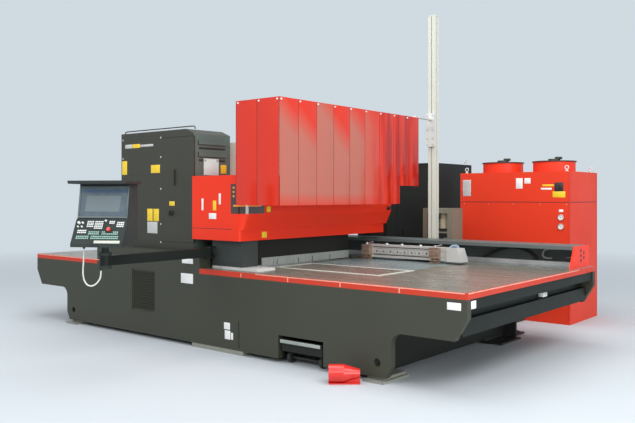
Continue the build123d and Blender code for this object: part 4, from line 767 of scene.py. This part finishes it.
def add_side_plate(mesh, near, far, low, high, face, thick=plate_thickness):
    """A plate on a face that looks along +X."""
    add_block(mesh, (face, near, low), (face + thick, far, high), soft=0.0006)


def make_plates(name, material, front=(), side=(), body="machine", thick=plate_thickness):
    """One piece of plates. Each is given by its two ends, its low and high edge and its face."""
    mesh = bmesh.new()
    for place in front:
        add_front_plate(mesh, *place, thick=thick)
    for place in side:
        add_side_plate(mesh, *place, thick=thick)
    return finish_piece(name, mesh, body, material)


bed_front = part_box("front_panel")[0][1]
bed_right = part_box("end_frames")[1][0]
cabinet_low, cabinet_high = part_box("laser_cabinet")
chiller_low, chiller_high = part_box("chiller_body")
cover_low, cover_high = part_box("cover_upper")
housing_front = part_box("front_housing")[0][1]
cabinet_front, chiller_front, cover_front = cabinet_low[1], chiller_low[1], cover_low[1]
front_faces = (housing_front, bed_front, cabinet_front, chiller_front, cover_front)
print("front faces at Y", [round(face, 4) for face in front_faces])

# %% Blank white plates on the bed
make_plates(
    "bed_plates", white_plate,
    front=[
        (-0.220, -0.054, 0.814, 0.864, housing_front),
        (-0.235, -0.054, 0.617, 0.715, bed_front),
        (0.389, 0.470, 0.225, 0.289, bed_front),
        (0.400, 0.475, 0.132, 0.215, bed_front),
        (0.484, 0.512, 0.135, 0.200, bed_front),
        (2.784, 2.900, 0.642, 0.698, bed_front),
    ],
    side=[(-1.282, -1.190, 0.648, 0.708, bed_right)],
)
print("bed plates placed")

# %% Blank plates on the laser cabinet
louvre_proud = 0.014
cabinet_side = cabinet_high[0] - louvre_proud
make_plates(
    "cabinet_yellow_plates", yellow_plate,
    front=[
        (-1.352, -1.262, 1.720, 1.870, cabinet_front),
        (-0.843, -0.693, 1.730, 1.815, cabinet_front),
        (-0.905, -0.815, 1.220, 1.350, cabinet_front),
        (-0.800, -0.710, 1.220, 1.350, cabinet_front),
        (-1.180, -1.125, 1.215, 1.345, cabinet_front),
        (-1.165, -1.030, 2.008, 2.050, cabinet_front),
    ],
    side=[(-0.880, -0.800, 1.720, 1.810, cabinet_side)],
)
# Painted light: this white plate is tinted cyan so that the red light from the strips still leaves it white.
make_plates(
    "cabinet_white_plates", plate_tinted_against_red_light,
    side=[(-1.115, -0.910, 1.700, 1.870, cabinet_side)],
)
make_plates(
    "cabinet_grey_plate", hose_grey,
    front=[
        (-0.905, -0.735, 1.090, 1.212, cabinet_front),
        (-1.295, -1.170, 2.008, 2.050, cabinet_front),
        (-1.025, -0.805, 2.016, 2.040, cabinet_front),
    ],
)
make_plates(
    "door_yellow_plate", yellow_plate, body="laser_cabinet_door",
    front=[(-0.540, -0.455, 1.385, 1.430, cabinet_front)],
)
print("cabinet plates placed")

# %% [markdown]
# ## Lamp windows in the cover
# A dark lens wraps round the near corner of the bridge cover, with amber lamps behind it, and a small
# one sits at the far end. The lens follows the cover's outline, so its path is the front face, a
# quarter circle and the side face, pushed out by a hair.

# %% Corner lens and lamps
cover_corner = 0.09
lens_proud = 0.0025


def corner_path(left, far, proud, steps=10):
    """Points along the front face, round the corner and along the side face of the cover."""
    centre = Vector((cover_high[0] - cover_corner, cover_front + cover_corner))
    reach = cover_corner + proud
    path = [Vector((left, cover_front - proud))]
    for step in range(steps + 1):
        angle = -pi / 2 + pi / 2 * step / steps
        path.append(centre + reach * Vector((cos(angle), sin(angle))))
    path.append(Vector((cover_high[0] + proud, far)))
    return path


def add_corner_band(mesh, left, far, low, high, proud):
    """A band of the given height on that path, closed into a thin solid."""
    outer, inner = corner_path(left, far, proud), corner_path(left, far, -0.001)
    rows = []
    for out, back in zip(outer, inner):
        corners = ((out, low), (out, high), (back, high), (back, low))
        rows.append([mesh.verts.new((*point, height)) for point, height in corners])
    for first, second in zip(rows, rows[1:]):
        join_loops(mesh, first, second)
    mesh.faces.new(rows[0])
    mesh.faces.new(rows[-1][::-1])


lens = bmesh.new()
add_corner_band(lens, 0.421, -1.020, 1.318, 1.600, lens_proud)
add_side_plate(lens, 1.075, 1.165, 1.320, 1.367, cover_high[0])
finish_piece("lamp_windows", lens, "machine", dark_lens)
lamps = bmesh.new()
add_corner_band(lamps, 0.455, -1.060, 1.385, 1.402, lens_proud + 0.001)
for lamp_z in (1.475, 1.515, 1.555):
    add_front_plate(lamps, 0.448, 0.472, lamp_z, lamp_z + 0.018, cover_front - lens_proud)
finish_piece("window_lamps", lamps, "machine", amber_lamp)
print("lamp windows placed")

# %% Blank plates on the cover
skirt_step = 0.025
skirt_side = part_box("cover_skirt")[1][0] - skirt_step
make_plates(
    "cover_white_plates", white_plate,
    front=[
        (0.005, 0.032, 1.345, 1.461, cover_front),
        (0.252, 0.280, 1.405, 1.510, cover_front),
        (0.112, 0.215, 1.262, 1.318, cover_front),
    ],
)
make_plates(
    "cover_yellow_plates", yellow_plate,
    front=[(0.168, 0.216, 1.345, 1.440, cover_front)],
    side=[(-0.985, -0.930, 1.330, 1.385, cover_high[0]), (-0.985, -0.915, 1.078, 1.136, skirt_side)],
)
print("cover plates placed")

# %% [markdown]
# ## The strip guard's studs
# Each strip hangs from a stud through its top hem, where it meets the strip before it. The pale heads
# make a row of dots along the top edge. A short cone reads as a domed head, with few faces.

# %% Strip studs
strips_low, strips_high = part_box("guard_strips")
stud_radius, stud_height, stud_drop = 0.009, 0.009, 0.020
stud_shape = {"tip": stud_radius * 0.6, "sides": 16}
stud_z = strips_high[2] - stud_drop
studs = bmesh.new()
side_strips = round((strips_high[1] - strips_low[1] - 0.004) / strip_pitch)
for index in range(side_strips):
    stud_y = strips_low[1] + 0.024 + index * strip_pitch
    add_boss(studs, (strips_high[0], stud_y, stud_z), to_right, stud_height, stud_radius, **stud_shape)
for stud_x in (0.56, 0.83, 1.06):
    add_boss(studs, (stud_x, strips_low[1], stud_z), to_front, stud_height, stud_radius, **stud_shape)
finish_piece("strip_studs", studs, "machine", white_plate)
print("side strips", side_strips)

# %% [markdown]
# ## The console's face
# The console has two slopes: a screen with a raised frame and, below it, a board of small keys with a
# padded strip for the wrist. A matrix for each slope lets the keys be set out flat, in the slope's own
# width and height.


# %% Slopes of the console
def slope_matrix(low, high):
    """The place of a slope given by its lower and upper edge, each as depth and height."""
    rise = Vector((0, high[0] - low[0], high[1] - low[1])).normalized()
    out = to_right.cross(rise)
    turn = Matrix((to_right, rise, out)).transposed().to_4x4()
    return console_place @ Matrix.Translation((0, low[0], low[1])) @ turn


key_slope = slope_matrix((-0.175, 1.083), (-0.062, 1.290))
screen_slope = slope_matrix((-0.048, 1.290), (0.0, 1.575))
print("slopes ready")

# %% Screen frame, wrist strip and visor lip
screen_frame = bmesh.new()
for low, high in (
    ((-0.2255, 0.004, -0.001), (0.2255, 0.0215, 0.011)),
    ((-0.2255, 0.2675, -0.001), (0.2255, 0.285, 0.011)),
    ((-0.2255, 0.0205, -0.001), (-0.208, 0.2685, 0.011)),
    ((0.208, 0.0205, -0.001), (0.2255, 0.2685, 0.011)),
):
    add_block(screen_frame, low, high, soft=0.004, place=screen_slope)
finish_piece("screen_frame", screen_frame, "console", console_trim)
wrist = bmesh.new()
add_block(wrist, (-0.02, 0.004, -0.001), (0.21, 0.030, 0.012), soft=0.005, place=key_slope)
finish_piece("wrist_strip", wrist, "console", cream)
visor_lip = bmesh.new()
for low, high in (
    ((-0.258, -0.163, 1.588), (0.258, -0.155, 1.601)),
    ((-0.258, -0.156, 1.588), (-0.250, 0.150, 1.601)),
    ((0.250, -0.156, 1.588), (0.258, 0.150, 1.601)),
):
    add_block(visor_lip, low, high, soft=0.002, place=console_place)
finish_piece("visor_lip", visor_lip, "console", black_plastic)
print("console trim placed")


# %% Keys
stop_low, stop_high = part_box("stop_button")
stop_middle = key_slope.inverted() @ ((Vector(stop_low) + Vector(stop_high)) / 2)
stop_clear = 0.038


def add_keys(mesh, left, low, columns, rows, pitch, size, height=0.0045):
    """A block of keys on the key slope, set out from its lower left corner, clear of the stop button."""
    for row in range(rows):
        for column in range(columns):
            x, y = left + column * pitch[0], low + row * pitch[1]
            middle = Vector((x + size[0] / 2, y + size[1] / 2))
            if (middle - stop_middle.xy).length < stop_clear:
                continue
            add_block(mesh, (x, y, -0.001), (x + size[0], y + size[1], height), soft=0.0012, place=key_slope)


square_key, square_pitch = (0.012, 0.012), (0.0165, 0.0175)
small_key, small_pitch = (0.011, 0.010), (0.0155, 0.0155)
pale_keys = bmesh.new()
add_keys(pale_keys, -0.120, 0.158, 4, 4, small_pitch, small_key)
add_keys(pale_keys, -0.050, 0.142, 5, 5, small_pitch, small_key)
add_keys(pale_keys, -0.192, 0.100, 5, 2, (0.0165, 0.018), square_key)
add_keys(pale_keys, 0.078, 0.190, 3, 2, (0.017, 0.0155), (0.012, 0.011))
add_keys(pale_keys, 0.148, 0.160, 4, 3, square_pitch, square_key)
finish_piece("pale_keys", pale_keys, "console", white_plate)
green_keys = bmesh.new()
for left, low, columns in ((-0.192, 0.046, 7), (-0.090, 0.088, 6), (-0.060, 0.046, 15), (0.030, 0.088, 9)):
    add_keys(green_keys, left, low, columns, 2, square_pitch, square_key)
finish_piece("green_keys", green_keys, "console", key_green)
knobs = bmesh.new()
for knob_x, knob_y, radius in (
    (-0.195, 0.195, 0.013),
    (-0.160, 0.195, 0.010),
    (-0.195, 0.158, 0.008),
    (-0.160, 0.158, 0.008),
    (0.045, 0.215, 0.009),
):
    base = key_slope @ Vector((knob_x, knob_y, -0.001))
    top = key_slope @ Vector((knob_x, knob_y, 0.016))
    add_rod(knobs, base, top, radius, tip=radius * 0.85, sides=20, soft=0.002)
finish_piece("console_knobs", knobs, "console", white_plate)
print("keys placed")

# %% [markdown]
# ## Chiller and control cabinet
# The two fans blow upwards through round wire guards. The guard is a set of rings on crossing wires,
# held by the rim. They are real wires, so that the fans show between them. Gauges and a few blank
# plates are on the front, and lifting eyes on the corners.

# %% Fan guards and motors
fan_centres = [Vector((fan_x, 2.643, 0)) for fan_x in (1.3415, 2.0135)]
rim_top = chiller_high[2]
guard_radius, guard_wire, spoke_reach = 0.243, 0.003, 0.245
lip_radius, lip_wire = 0.258, 0.007
motor_radius, motor_height = 0.072, 0.036
guards = bmesh.new()
motors = bmesh.new()
for centre in fan_centres:
    top = Vector((centre.x, centre.y, rim_top + guard_wire))
    for share in (0.25, 0.4, 0.55, 0.7, 0.85, 1.0):
        add_ring(guards, top, upwards, guard_radius * share, guard_wire, sides=48, around=6)
    add_ring(guards, top, upwards, lip_radius, lip_wire, sides=64, around=8)
    below = top - upwards * guard_wire
    for spoke in range(4):
        way = Vector((cos(pi * spoke / 4), sin(pi * spoke / 4), 0)) * spoke_reach
        add_rod(guards, below - way, below + way, guard_wire, sides=8)
    add_boss(motors, top, upwards, motor_height, motor_radius, sides=32, soft=0.006)
    add_block(motors, top + Vector((0.02, -0.035, 0.03)), top + Vector((0.09, 0.035, 0.060)), soft=0.005)
finish_piece("fan_guards", guards, "machine", black_plastic)
finish_piece("fan_motors", motors, "machine", charcoal)
print("fan guards", len(fan_centres))

# %% Gauges and plates of the chiller
gauge_x, gauge_radius, rim_wire = 2.274, 0.031, 0.005
gauge_rims, gauge_faces, gauge_hands = bmesh.new(), bmesh.new(), bmesh.new()
for gauge_z in (1.237, 1.131):
    centre = Vector((gauge_x, chiller_front, gauge_z))
    add_ring(gauge_rims, centre + to_front * 0.010, (0, 1, 0), gauge_radius, rim_wire)
    add_boss(gauge_rims, centre, to_front, 0.008, gauge_radius - 0.002)
    add_boss(gauge_faces, centre + to_front * 0.007, to_front, 0.0025, gauge_radius - 0.003)
    pivot = centre + to_front * 0.011
    add_rod(gauge_hands, pivot, pivot + Vector((-0.018, 0, 0.014)), 0.0014, sides=8)
    add_boss(gauge_hands, centre + to_front * 0.009, to_front, 0.0035, 0.004, sides=12)
finish_piece("gauge_rims", gauge_rims, "machine", plain_steel)
finish_piece("gauge_faces", gauge_faces, "machine", white_plate)
finish_piece("gauge_hands", gauge_hands, "machine", black_plastic)
make_plates(
    "chiller_plates", white_plate,
    front=[
        (1.722, 1.806, 1.575, 1.700, chiller_front),
        (1.830, 1.905, 1.635, 1.700, chiller_front),
        (2.035, 2.165, 1.560, 1.582, chiller_front),
        (2.250, 2.300, 1.300, 1.330, chiller_front),
    ],
)
chiller_grille = bmesh.new()
grille_face = chiller_front - plate_thickness
add_front_plate(chiller_grille, 1.010, 1.122, 1.486, 1.688, chiller_front)
bar_pitch, bar_height = 0.021, 0.009
for row in range(9):
    bar_z = 1.498 + row * bar_pitch
    add_front_plate(chiller_grille, 1.018, 1.114, bar_z, bar_z + bar_height, grille_face, thick=0.003)
finish_piece("chiller_grille", chiller_grille, "machine", hose_grey)
make_plates(
    "chiller_yellow_plates", yellow_plate,
    front=[(2.175, 2.325, 1.470, 1.540, chiller_front), (2.050, 2.190, 1.600, 1.622, chiller_front)],
)
print("chiller front dressed")

# %% [markdown]
# The case of the chiller is made of folded panels on a frame. Their joints show as thin dark lines: one
# at the height of the upper panels, and upright ones a little way in from the corners. Thin dark plates
# draw them, which leaves the solid whole.

# %% Panel joints of the chiller
seam_z, seam_width, seam_thick = 1.411, 0.006, 0.0006
seam_inset = 0.022
upright = (0.05, 1.750)
joints_front = (chiller_low[0] + seam_inset, chiller_high[0] - seam_inset)
seams = bmesh.new()
add_front_plate(seams, *joints_front, seam_z, seam_z + seam_width, chiller_front, thick=seam_thick)
for seam_x in joints_front:
    add_front_plate(seams, seam_x, seam_x + seam_width / 2, *upright, chiller_front, thick=seam_thick)
joints_side = (chiller_low[1] + seam_inset, chiller_high[1] - seam_inset)
add_side_plate(seams, *joints_side, seam_z, seam_z + seam_width, chiller_high[0], thick=seam_thick)
for seam_y in joints_side:
    add_side_plate(seams, seam_y, seam_y + seam_width / 2, *upright, chiller_high[0], thick=seam_thick)
add_front_plate(seams, 2.196, 2.304, 1.536, 1.644, chiller_front, thick=0.0002)
finish_piece("chiller_seams", seams, "machine", black_plastic)
print("panel joints drawn")


# %% Lifting eyes
def add_eye(mesh, foot, way):
    """A lifting eye: a collar, a neck and a ring, on a foot point."""
    add_boss(mesh, foot, upwards, 0.012, 0.020, sides=20, soft=0.002)
    add_boss(mesh, foot, upwards, 0.03, 0.009, sides=12)
    add_ring(mesh, Vector(foot) + upwards * 0.045, way, 0.021, 0.0065, sides=24, around=8)


eyes = bmesh.new()
case_top = 1.773
eye_inset = 0.06
for eye_x in (chiller_low[0] + eye_inset, chiller_high[0] - eye_inset):
    for eye_y in (chiller_low[1] + eye_inset, chiller_high[1] - eye_inset):
        add_eye(eyes, (eye_x, eye_y, case_top), (0, 1, 0))
control_low, control_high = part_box("control_cabinet")
for eye_x in (control_low[0] + 0.05, control_high[0] - 0.05):
    for eye_y in (control_low[1] + 0.08, control_high[1] - 0.08):
        add_eye(eyes, (eye_x, eye_y, control_high[2]), (1, 0, 0))
finish_piece("lifting_eyes", eyes, "machine", aluminium)
print("lifting eyes set")

# %% [markdown]
# ## Screws
# Panels are held by round-headed screws. One helper sets a flat dome on a face, and one mesh holds all
# the screws of a body.


# %% Screw heads
def add_screw(mesh, place, way, radius=0.008):
    """A low screw head on a face, with a step under it like a washer."""
    add_boss(mesh, place, way, 0.0012, radius * 1.35, sides=16)
    add_boss(mesh, place, way, 0.005, radius, tip=radius * 0.7, sides=16)


screws = bmesh.new()
for screw_z in (2.100, 1.895, 1.560, 1.190, 1.000):
    add_screw(screws, (-0.680, cabinet_front, screw_z), to_front)
    add_screw(screws, (-1.335, cabinet_front, screw_z), to_front)
for screw_x in (1.03, 1.36, 1.69, 2.02, 2.34):
    add_screw(screws, (screw_x, chiller_front, 1.390), to_front, radius=0.004)
for screw_y in (-1.095, -0.930):
    add_screw(screws, (cabinet_side + plate_thickness, screw_y, 1.850), to_right, radius=0.010)
finish_piece("panel_screws", screws, "machine", plain_steel)
print("screws set")

# %% [markdown]
# ## Sheet carriage
# The carriage beam is a machined bar with two long slots and a row of bolts, and air lines loop over
# its end block. The slots are dark plates, painted shade for the inside of each slot, too shallow to need
# a cut, and dark discs are painted shade in the holes. All of it rides on the carriage, so it moves along
# with the clamps.

# %% Carriage details
beam_face, beam_middle, hole_pitch = 0.640, 0.868, 0.092
# Painted shade: dark plates for the slots and dark discs for the holes of the beam.
slots = bmesh.new()
for slot_z in (0.826, 0.912):
    add_front_plate(slots, 0.715, 1.462, slot_z, slot_z + 0.009, beam_face, thick=0.0008)
for hole in range(8):
    hole_x = 0.765 + hole * hole_pitch
    add_boss(slots, (hole_x, beam_face, beam_middle), to_front, 0.0015, 0.009, sides=20)
finish_piece("beam_slots", slots, "sheet_carriage", black_plastic)
beam_bolts = bmesh.new()
for bolt in range(7):
    add_screw(beam_bolts, (0.811 + bolt * hole_pitch, beam_face, beam_middle), to_front, radius=0.007)
for knob_x in (0.86, 1.06, 1.30):
    add_boss(beam_bolts, (knob_x, 0.70, 0.939), upwards, 0.018, 0.02, tip=0.016, sides=20, soft=0.003)
finish_piece("beam_bolts", beam_bolts, "sheet_carriage", plain_steel)
line_foot, line_radius = 0.935, 0.005
air_lines = bmesh.new()
for line_y, reach in ((0.64, 0.022), (0.67, 0.030)):
    line_top = line_foot + reach
    loop = [
        (1.69, line_y, line_foot),
        (1.69, line_y, line_top),
        (1.735, line_y + 0.01, line_top + 0.01),
        (1.78, line_y, line_top),
        (1.78, line_y, line_foot),
    ]
    add_pipe(air_lines, loop, line_radius)
finish_piece("air_lines", air_lines, "sheet_carriage", blue_plastic)
print("carriage dressed")

# %% [markdown]
# ## Rail recess
# Behind the carriage rail, pipes and a dark hose come up the back wall of the long recess. The pipe
# helper rounds the bends between a few points, so a run is only a short list. Dark discs are painted
# shade that stands for the holes in the rail's end plate.

# %% Recess pipes
pipe_radius, hose_radius = 0.011, 0.014
long_pipe = [
    (2.52, 1.315, 0.835), (2.44, 1.300, 0.835), (2.42, 1.290, 0.880),
    (2.46, 1.290, 0.935), (2.56, 1.300, 0.935), (2.62, 1.315, 0.935),
]
short_pipe = [(2.66, 1.315, 0.850), (2.74, 1.300, 0.850), (2.76, 1.300, 0.905), (2.70, 1.315, 0.950)]
hose_run = [
    (1.55, 1.30, 0.80), (1.75, 1.27, 0.80), (1.92, 1.28, 0.90),
    (2.10, 1.30, 0.945), (2.28, 1.31, 0.90), (2.36, 1.315, 0.82),
]
recess_pipes = bmesh.new()
add_pipe(recess_pipes, long_pipe, pipe_radius)
add_pipe(recess_pipes, short_pipe, pipe_radius)
finish_piece("recess_pipes", recess_pipes, "machine", hose_grey)
recess_hose = bmesh.new()
add_pipe(recess_hose, hose_run, hose_radius)
finish_piece("recess_hose", recess_hose, "machine", rubber)
# Painted shade: dark discs for the holes in the rail's end plate.
end_face, hole_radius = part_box("rail_ends")[1][0], 0.018
end_holes = bmesh.new()
for hole_y, hole_z in ((1.12, 0.945), (1.12, 0.895), (1.12, 0.845), (1.20, 0.920), (1.20, 0.870)):
    add_boss(end_holes, (end_face, hole_y, hole_z), to_right, 0.0012, hole_radius)
finish_piece("end_plate_holes", end_holes, "machine", black_plastic)
print("recess dressed")

# %% [markdown]
# ## Vent mesh, louvre slots, cart bar and side sensor
# Air goes in through a vent that is covered by a fine mesh of upright wires. Under each louvre hood of
# the laser cabinet a dark plate is painted shade for the slot. The cart shows a pale bar across its front,
# and a small sensor sits in the gap under the right edge of the table.

# %% Vent mesh
vent_low, vent_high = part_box("vent_louvre")
vent_rim, wire_pitch, wire_width = 0.018, 0.0098, 0.004
vent_mesh = bmesh.new()
wire_count = int((vent_high[0] - vent_low[0] - 2 * vent_rim) / wire_pitch)
for index in range(1, wire_count):
    wire_x = vent_low[0] + vent_rim + index * wire_pitch
    low = (wire_x, vent_low[1] + 0.0005, vent_low[2] + vent_rim)
    add_block(vent_mesh, low, (wire_x + wire_width, vent_low[1] + 0.0025, vent_high[2] - vent_rim))
finish_piece("vent_mesh", vent_mesh, "machine", charcoal)
print("vent wires", wire_count - 1)

# %% Louvre slots, cart bar and side sensor
joint_thick = 0.0006
# Painted shade: a dark plate under each louvre hood of the laser cabinet.
make_plates(
    "louvre_slots", black_plastic, thick=joint_thick,
    side=[(-1.180, -0.816, slot_z, slot_z + 0.022, cabinet_side) for slot_z in (1.962, 1.838)],
)
cart_low, cart_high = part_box("cart_tray")
bar_ends = (cart_low[0] + 0.004, cart_high[0] - 0.004)
bar_edges = (cart_high[2] - 0.032, cart_high[2] - 0.002)
make_plates(
    "cart_bar", pale_strip, body="cart", thick=0.004,
    front=[(*bar_ends, *bar_edges, cart_low[1])],
)
side_sensor = bmesh.new()
sensor_back = bed_right - 0.110
sensor_face = sensor_back + 0.05
add_block(side_sensor, (sensor_back, 0.215, 0.575), (sensor_face, 0.305, 0.615), soft=0.004)
add_boss(side_sensor, (sensor_face, 0.26, 0.595), to_right, 0.012, 0.012, sides=20, soft=0.002)
finish_piece("side_sensor", side_sensor, "machine", white_plate)
print("small trim placed")

# %% [markdown]
# ## Joints, rail and worn edges
# A dark joint crosses the front of the laser cabinet, one divides the bridge cover from its skirt, and
# short slits part the plates of the sheet skirt below the bridge.
# A thin rail runs along the cabinet's top. Sheets that slide on to the table have worn the top of the
# red edge strips and their joints to pale lines, and short red ends carry the side strips on to the
# rear corners.

# %% Joint lines and top rail
cabinet_joint, cover_joint, joint_width = 1.7125, 1.1645, 0.005
skirt_low, skirt_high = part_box("sheet_skirt")
slit_edges = (skirt_low[2], skirt_low[2] + 0.055)
make_plates(
    "panel_joints", black_plastic, thick=joint_thick,
    front=[
        (-1.365, -0.643, cabinet_joint, cabinet_joint + joint_width, cabinet_front),
        (cover_low[0], 0.430, cover_joint, cover_joint + joint_width, cover_front),
    ],
    side=[(slit_y, slit_y + 0.010, *slit_edges, skirt_high[0]) for slit_y in (-0.66, -0.33, -0.10, 0.20)],
)
rail_y, rail_z = cabinet_front + 0.030, cabinet_high[2]
rail_line = [
    (-1.335, -0.004), (-1.330, 0.022), (-1.300, 0.026), (-1.250, 0.026),
    (-0.260, 0.026), (-0.210, 0.026), (-0.175, 0.022), (-0.170, -0.004),
]
top_rail = bmesh.new()
add_pipe(top_rail, [(rail_x, rail_y, rail_z + lift) for rail_x, lift in rail_line], 0.006)
finish_piece("top_rail", top_rail, "machine", charcoal)
print("joints and rail drawn")

# %% Worn edges and strip ends
strip_low, strip_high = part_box("edge_strips")
strip_front, strip_side = strip_low[1], strip_high[0]
worn_z = (strip_high[2] - 0.010, strip_high[2] - 0.001)
mark_z, mark_width = (strip_low[2] + 0.004, worn_z[0]), 0.012
housing_right, strip_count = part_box("front_housing")[1][0], 5
strip_length = (strip_side - housing_right) / strip_count
marks = [housing_right + strip_length * index for index in range(1, strip_count)]
make_plates(
    "worn_edges", worn_red, thick=joint_thick,
    front=[
        (strip_low[0] + 0.02, -1.55, *worn_z, strip_front),
        (0.80, strip_side - 0.02, *worn_z, strip_front),
        *((mark_x - mark_width, mark_x, *mark_z, strip_front) for mark_x in marks),
    ],
    side=[(strip_front + 0.02, 0.90, *worn_z, strip_side)],
)
table_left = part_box("table_left")[0][0]
table_right, table_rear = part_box("table_right")[1][:2]
strip_ends = bmesh.new()
for end_left, end_right in ((strip_low[0], table_left), (table_right, strip_side)):
    low = (end_left, strip_high[1] + 0.001, strip_low[2])
    add_block(strip_ends, low, (end_right, table_rear, strip_high[2]), soft=0.003)
finish_piece("strip_ends", strip_ends, "machine", edge_red)
print("strip joint marks", len(marks))

# %% [markdown]
# ## Grilles behind
# The cabinets breathe through grilles in their backs and outer sides. One helper sets a rim with bars
# on any upright face.


# %% Rear grilles
def add_grille(mesh, corner, across, width, height, bars, rim=0.022, proud=0.008):
    """A rim with level bars on an upright face, from its lower corner along one way."""
    turn = Matrix((across, upwards, across.cross(upwards))).transposed().to_4x4()
    place = Matrix.Translation(corner) @ turn
    for low, high in (
        ((0, 0), (width, rim)),
        ((0, height - rim), (width, height)),
        ((0, rim), (rim, height - rim)),
        ((width - rim, rim), (width, height - rim)),
    ):
        add_block(mesh, (*low, -0.001), (*high, proud), soft=0.002, place=place)
    pitch = (height - 2 * rim) / bars
    for bar in range(bars):
        base = rim + (bar + 0.25) * pitch
        add_block(mesh, (rim, base, -0.001), (width - rim, base + pitch * 0.5, proud * 0.6), place=place)


to_left = -to_right
rear_grilles = bmesh.new()
add_grille(rear_grilles, (2.10, chiller_high[1], 0.35), to_left, 0.85, 0.90, 30)
for vent_z in (0.30, control_high[2] - 0.50):
    add_grille(rear_grilles, (control_high[0] - 0.20, control_high[1], vent_z), to_left, 0.40, 0.25, 10)
add_grille(rear_grilles, (control_low[0], control_high[1] - 0.25, 0.40), to_front, 0.30, 0.30, 12)
add_grille(rear_grilles, (cabinet_low[0], -0.45, 1.70), to_front, 0.45, 0.24, 9)
finish_piece("rear_grilles", rear_grilles, "machine", black_plastic)
print("rear grilles placed")

# %% [markdown]
# ## Mast
# The mast is a pale painted post. It gets an end cap, a hair wider than the post, and the bolts of the
# bracket that clamps the strip guard to it. Six-sided rods are enough for bolt heads of this size.

# %% Mast cap and clamp bolts
mast_low, mast_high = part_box("mast_post")
cap_rim = 0.002
cap_low = (mast_low[0] - cap_rim, mast_low[1] - cap_rim, mast_high[2] - 0.014)
cap_high = (mast_high[0] + cap_rim, mast_high[1] + cap_rim, mast_high[2] - 0.0005)
mast_cap = bmesh.new()
add_block(mast_cap, cap_low, cap_high, soft=0.003)
finish_piece("mast_cap", mast_cap, "machine", cream)
clamp_bolts = bmesh.new()
mast_middle = (mast_low[0] + mast_high[0]) / 2
bracket_front = mast_low[1] - 0.032
bolt_height, bolt_radius = 0.009, 0.010
for bolt_z in (2.09, 2.16, 2.26, 2.43):
    for bolt_x in (mast_middle - 0.036, mast_middle + 0.036):
        add_boss(clamp_bolts, (bolt_x, bracket_front, bolt_z), to_front, bolt_height, bolt_radius, sides=6)
finish_piece("clamp_bolts", clamp_bolts, "machine", plain_steel)
print("mast dressed")

# %% [markdown]
# ## Floor and light
# A plain pale floor runs to the horizon, with the same pale tone behind it. Broad soft lamps stand in
# front, on the right and above, and a low one on the right; the strips' pale highlight is painted into
# their colour. The sky fills the shadows. It lights with one tone, while the camera, metal and glass all
# see the pale backdrop.

# %% Floor
floor_reach = 60.0
fade_start, fade_end = 5.0, 14.0
backdrop_color = (0.63, 0.70, 0.755)
floor_mesh = bmesh.new()
bmesh.ops.create_circle(floor_mesh, cap_ends=True, segments=96, radius=floor_reach)
floor_data = bpy.data.meshes.new("floor")
floor_mesh.to_mesh(floor_data)
floor_mesh.free()
floor = bpy.data.objects.new("floor", floor_data)
scene.collection.objects.link(floor)
floor_material, floor_tree, floor_shader = start_material("floor")
floor_place = coordinates(floor_tree, "Object")
distance = put(floor_tree, "ShaderNodeVectorMath", links={0: floor_place}, operation="LENGTH")
far_mask = ramp(floor_tree, distance.outputs["Value"], fade_start, fade_end)
set_sockets(floor_shader, {"Base Color": (0.49, 0.53, 0.56), "Roughness": 0.7})
far_glow = put(floor_tree, "ShaderNodeEmission", {"Color": (*backdrop_color, 1)})
floor_mix = put(
    floor_tree, "ShaderNodeMixShader",
    links={0: far_mask, 1: floor_shader.outputs[0], 2: far_glow.outputs[0]},
)
floor_tree.links.new(floor_mix.outputs[0], floor_tree.nodes["Material Output"].inputs["Surface"])
floor_data.materials.append(floor_material)
print("floor reach", floor_reach)

# %% Sky and lamps
world = bpy.data.worlds.new("studio")
scene.world = world
world.use_nodes = True
sky_tree = world.node_tree
seen_sky = put(sky_tree, "ShaderNodeBackground", {"Color": (*backdrop_color, 1), "Strength": 1.0})
light_sky = sky_tree.nodes["Background"]
set_sockets(light_sky, {"Color": (0.93, 0.96, 1.0), "Strength": 0.62})
rays = put(sky_tree, "ShaderNodeLightPath").outputs
mirrored = math_node(sky_tree, "MAXIMUM", rays["Is Glossy Ray"], rays["Is Transmission Ray"])
seen = math_node(sky_tree, "MAXIMUM", rays["Is Camera Ray"], mirrored)
sky_mix = put(
    sky_tree, "ShaderNodeMixShader",
    links={0: seen, 1: light_sky.outputs[0], 2: seen_sky.outputs[0]},
)
sky_tree.links.new(sky_mix.outputs[0], sky_tree.nodes["World Output"].inputs["Surface"])


def add_lamp(name, place, aim, size, power):
    """A broad soft lamp that looks at a point."""
    lamp = bpy.data.lights.new(name, "AREA")
    lamp.shape = "RECTANGLE"
    lamp.size, lamp.size_y = size
    lamp.energy = power
    holder = bpy.data.objects.new(name, lamp)
    holder.location = place
    holder.rotation_euler = (Vector(aim) - Vector(place)).to_track_quat("-Z", "Y").to_euler()
    holder.visible_camera = False
    scene.collection.objects.link(holder)


add_lamp("front_lamp", (-2.5, -9.5, 6.5), (-0.5, -0.5, 1.0), (7, 5), 370)
add_lamp("right_lamp", (7.0, -2.5, 7.2), (0, -0.4, 1.4), (6, 4), 380)
add_lamp("low_lamp", (9.5, -3.0, 1.7), (0.6, 0, 1.2), (6, 2.5), 270)
add_lamp("fill_lamp", (6.0, -9.0, 5.0), (0.3, -0.8, 1.2), (5, 4), 220)
add_lamp("top_lamp", (0.8, 0, 9.0), (0.8, 0, 0), (8, 6), 460)
print("lamps placed")
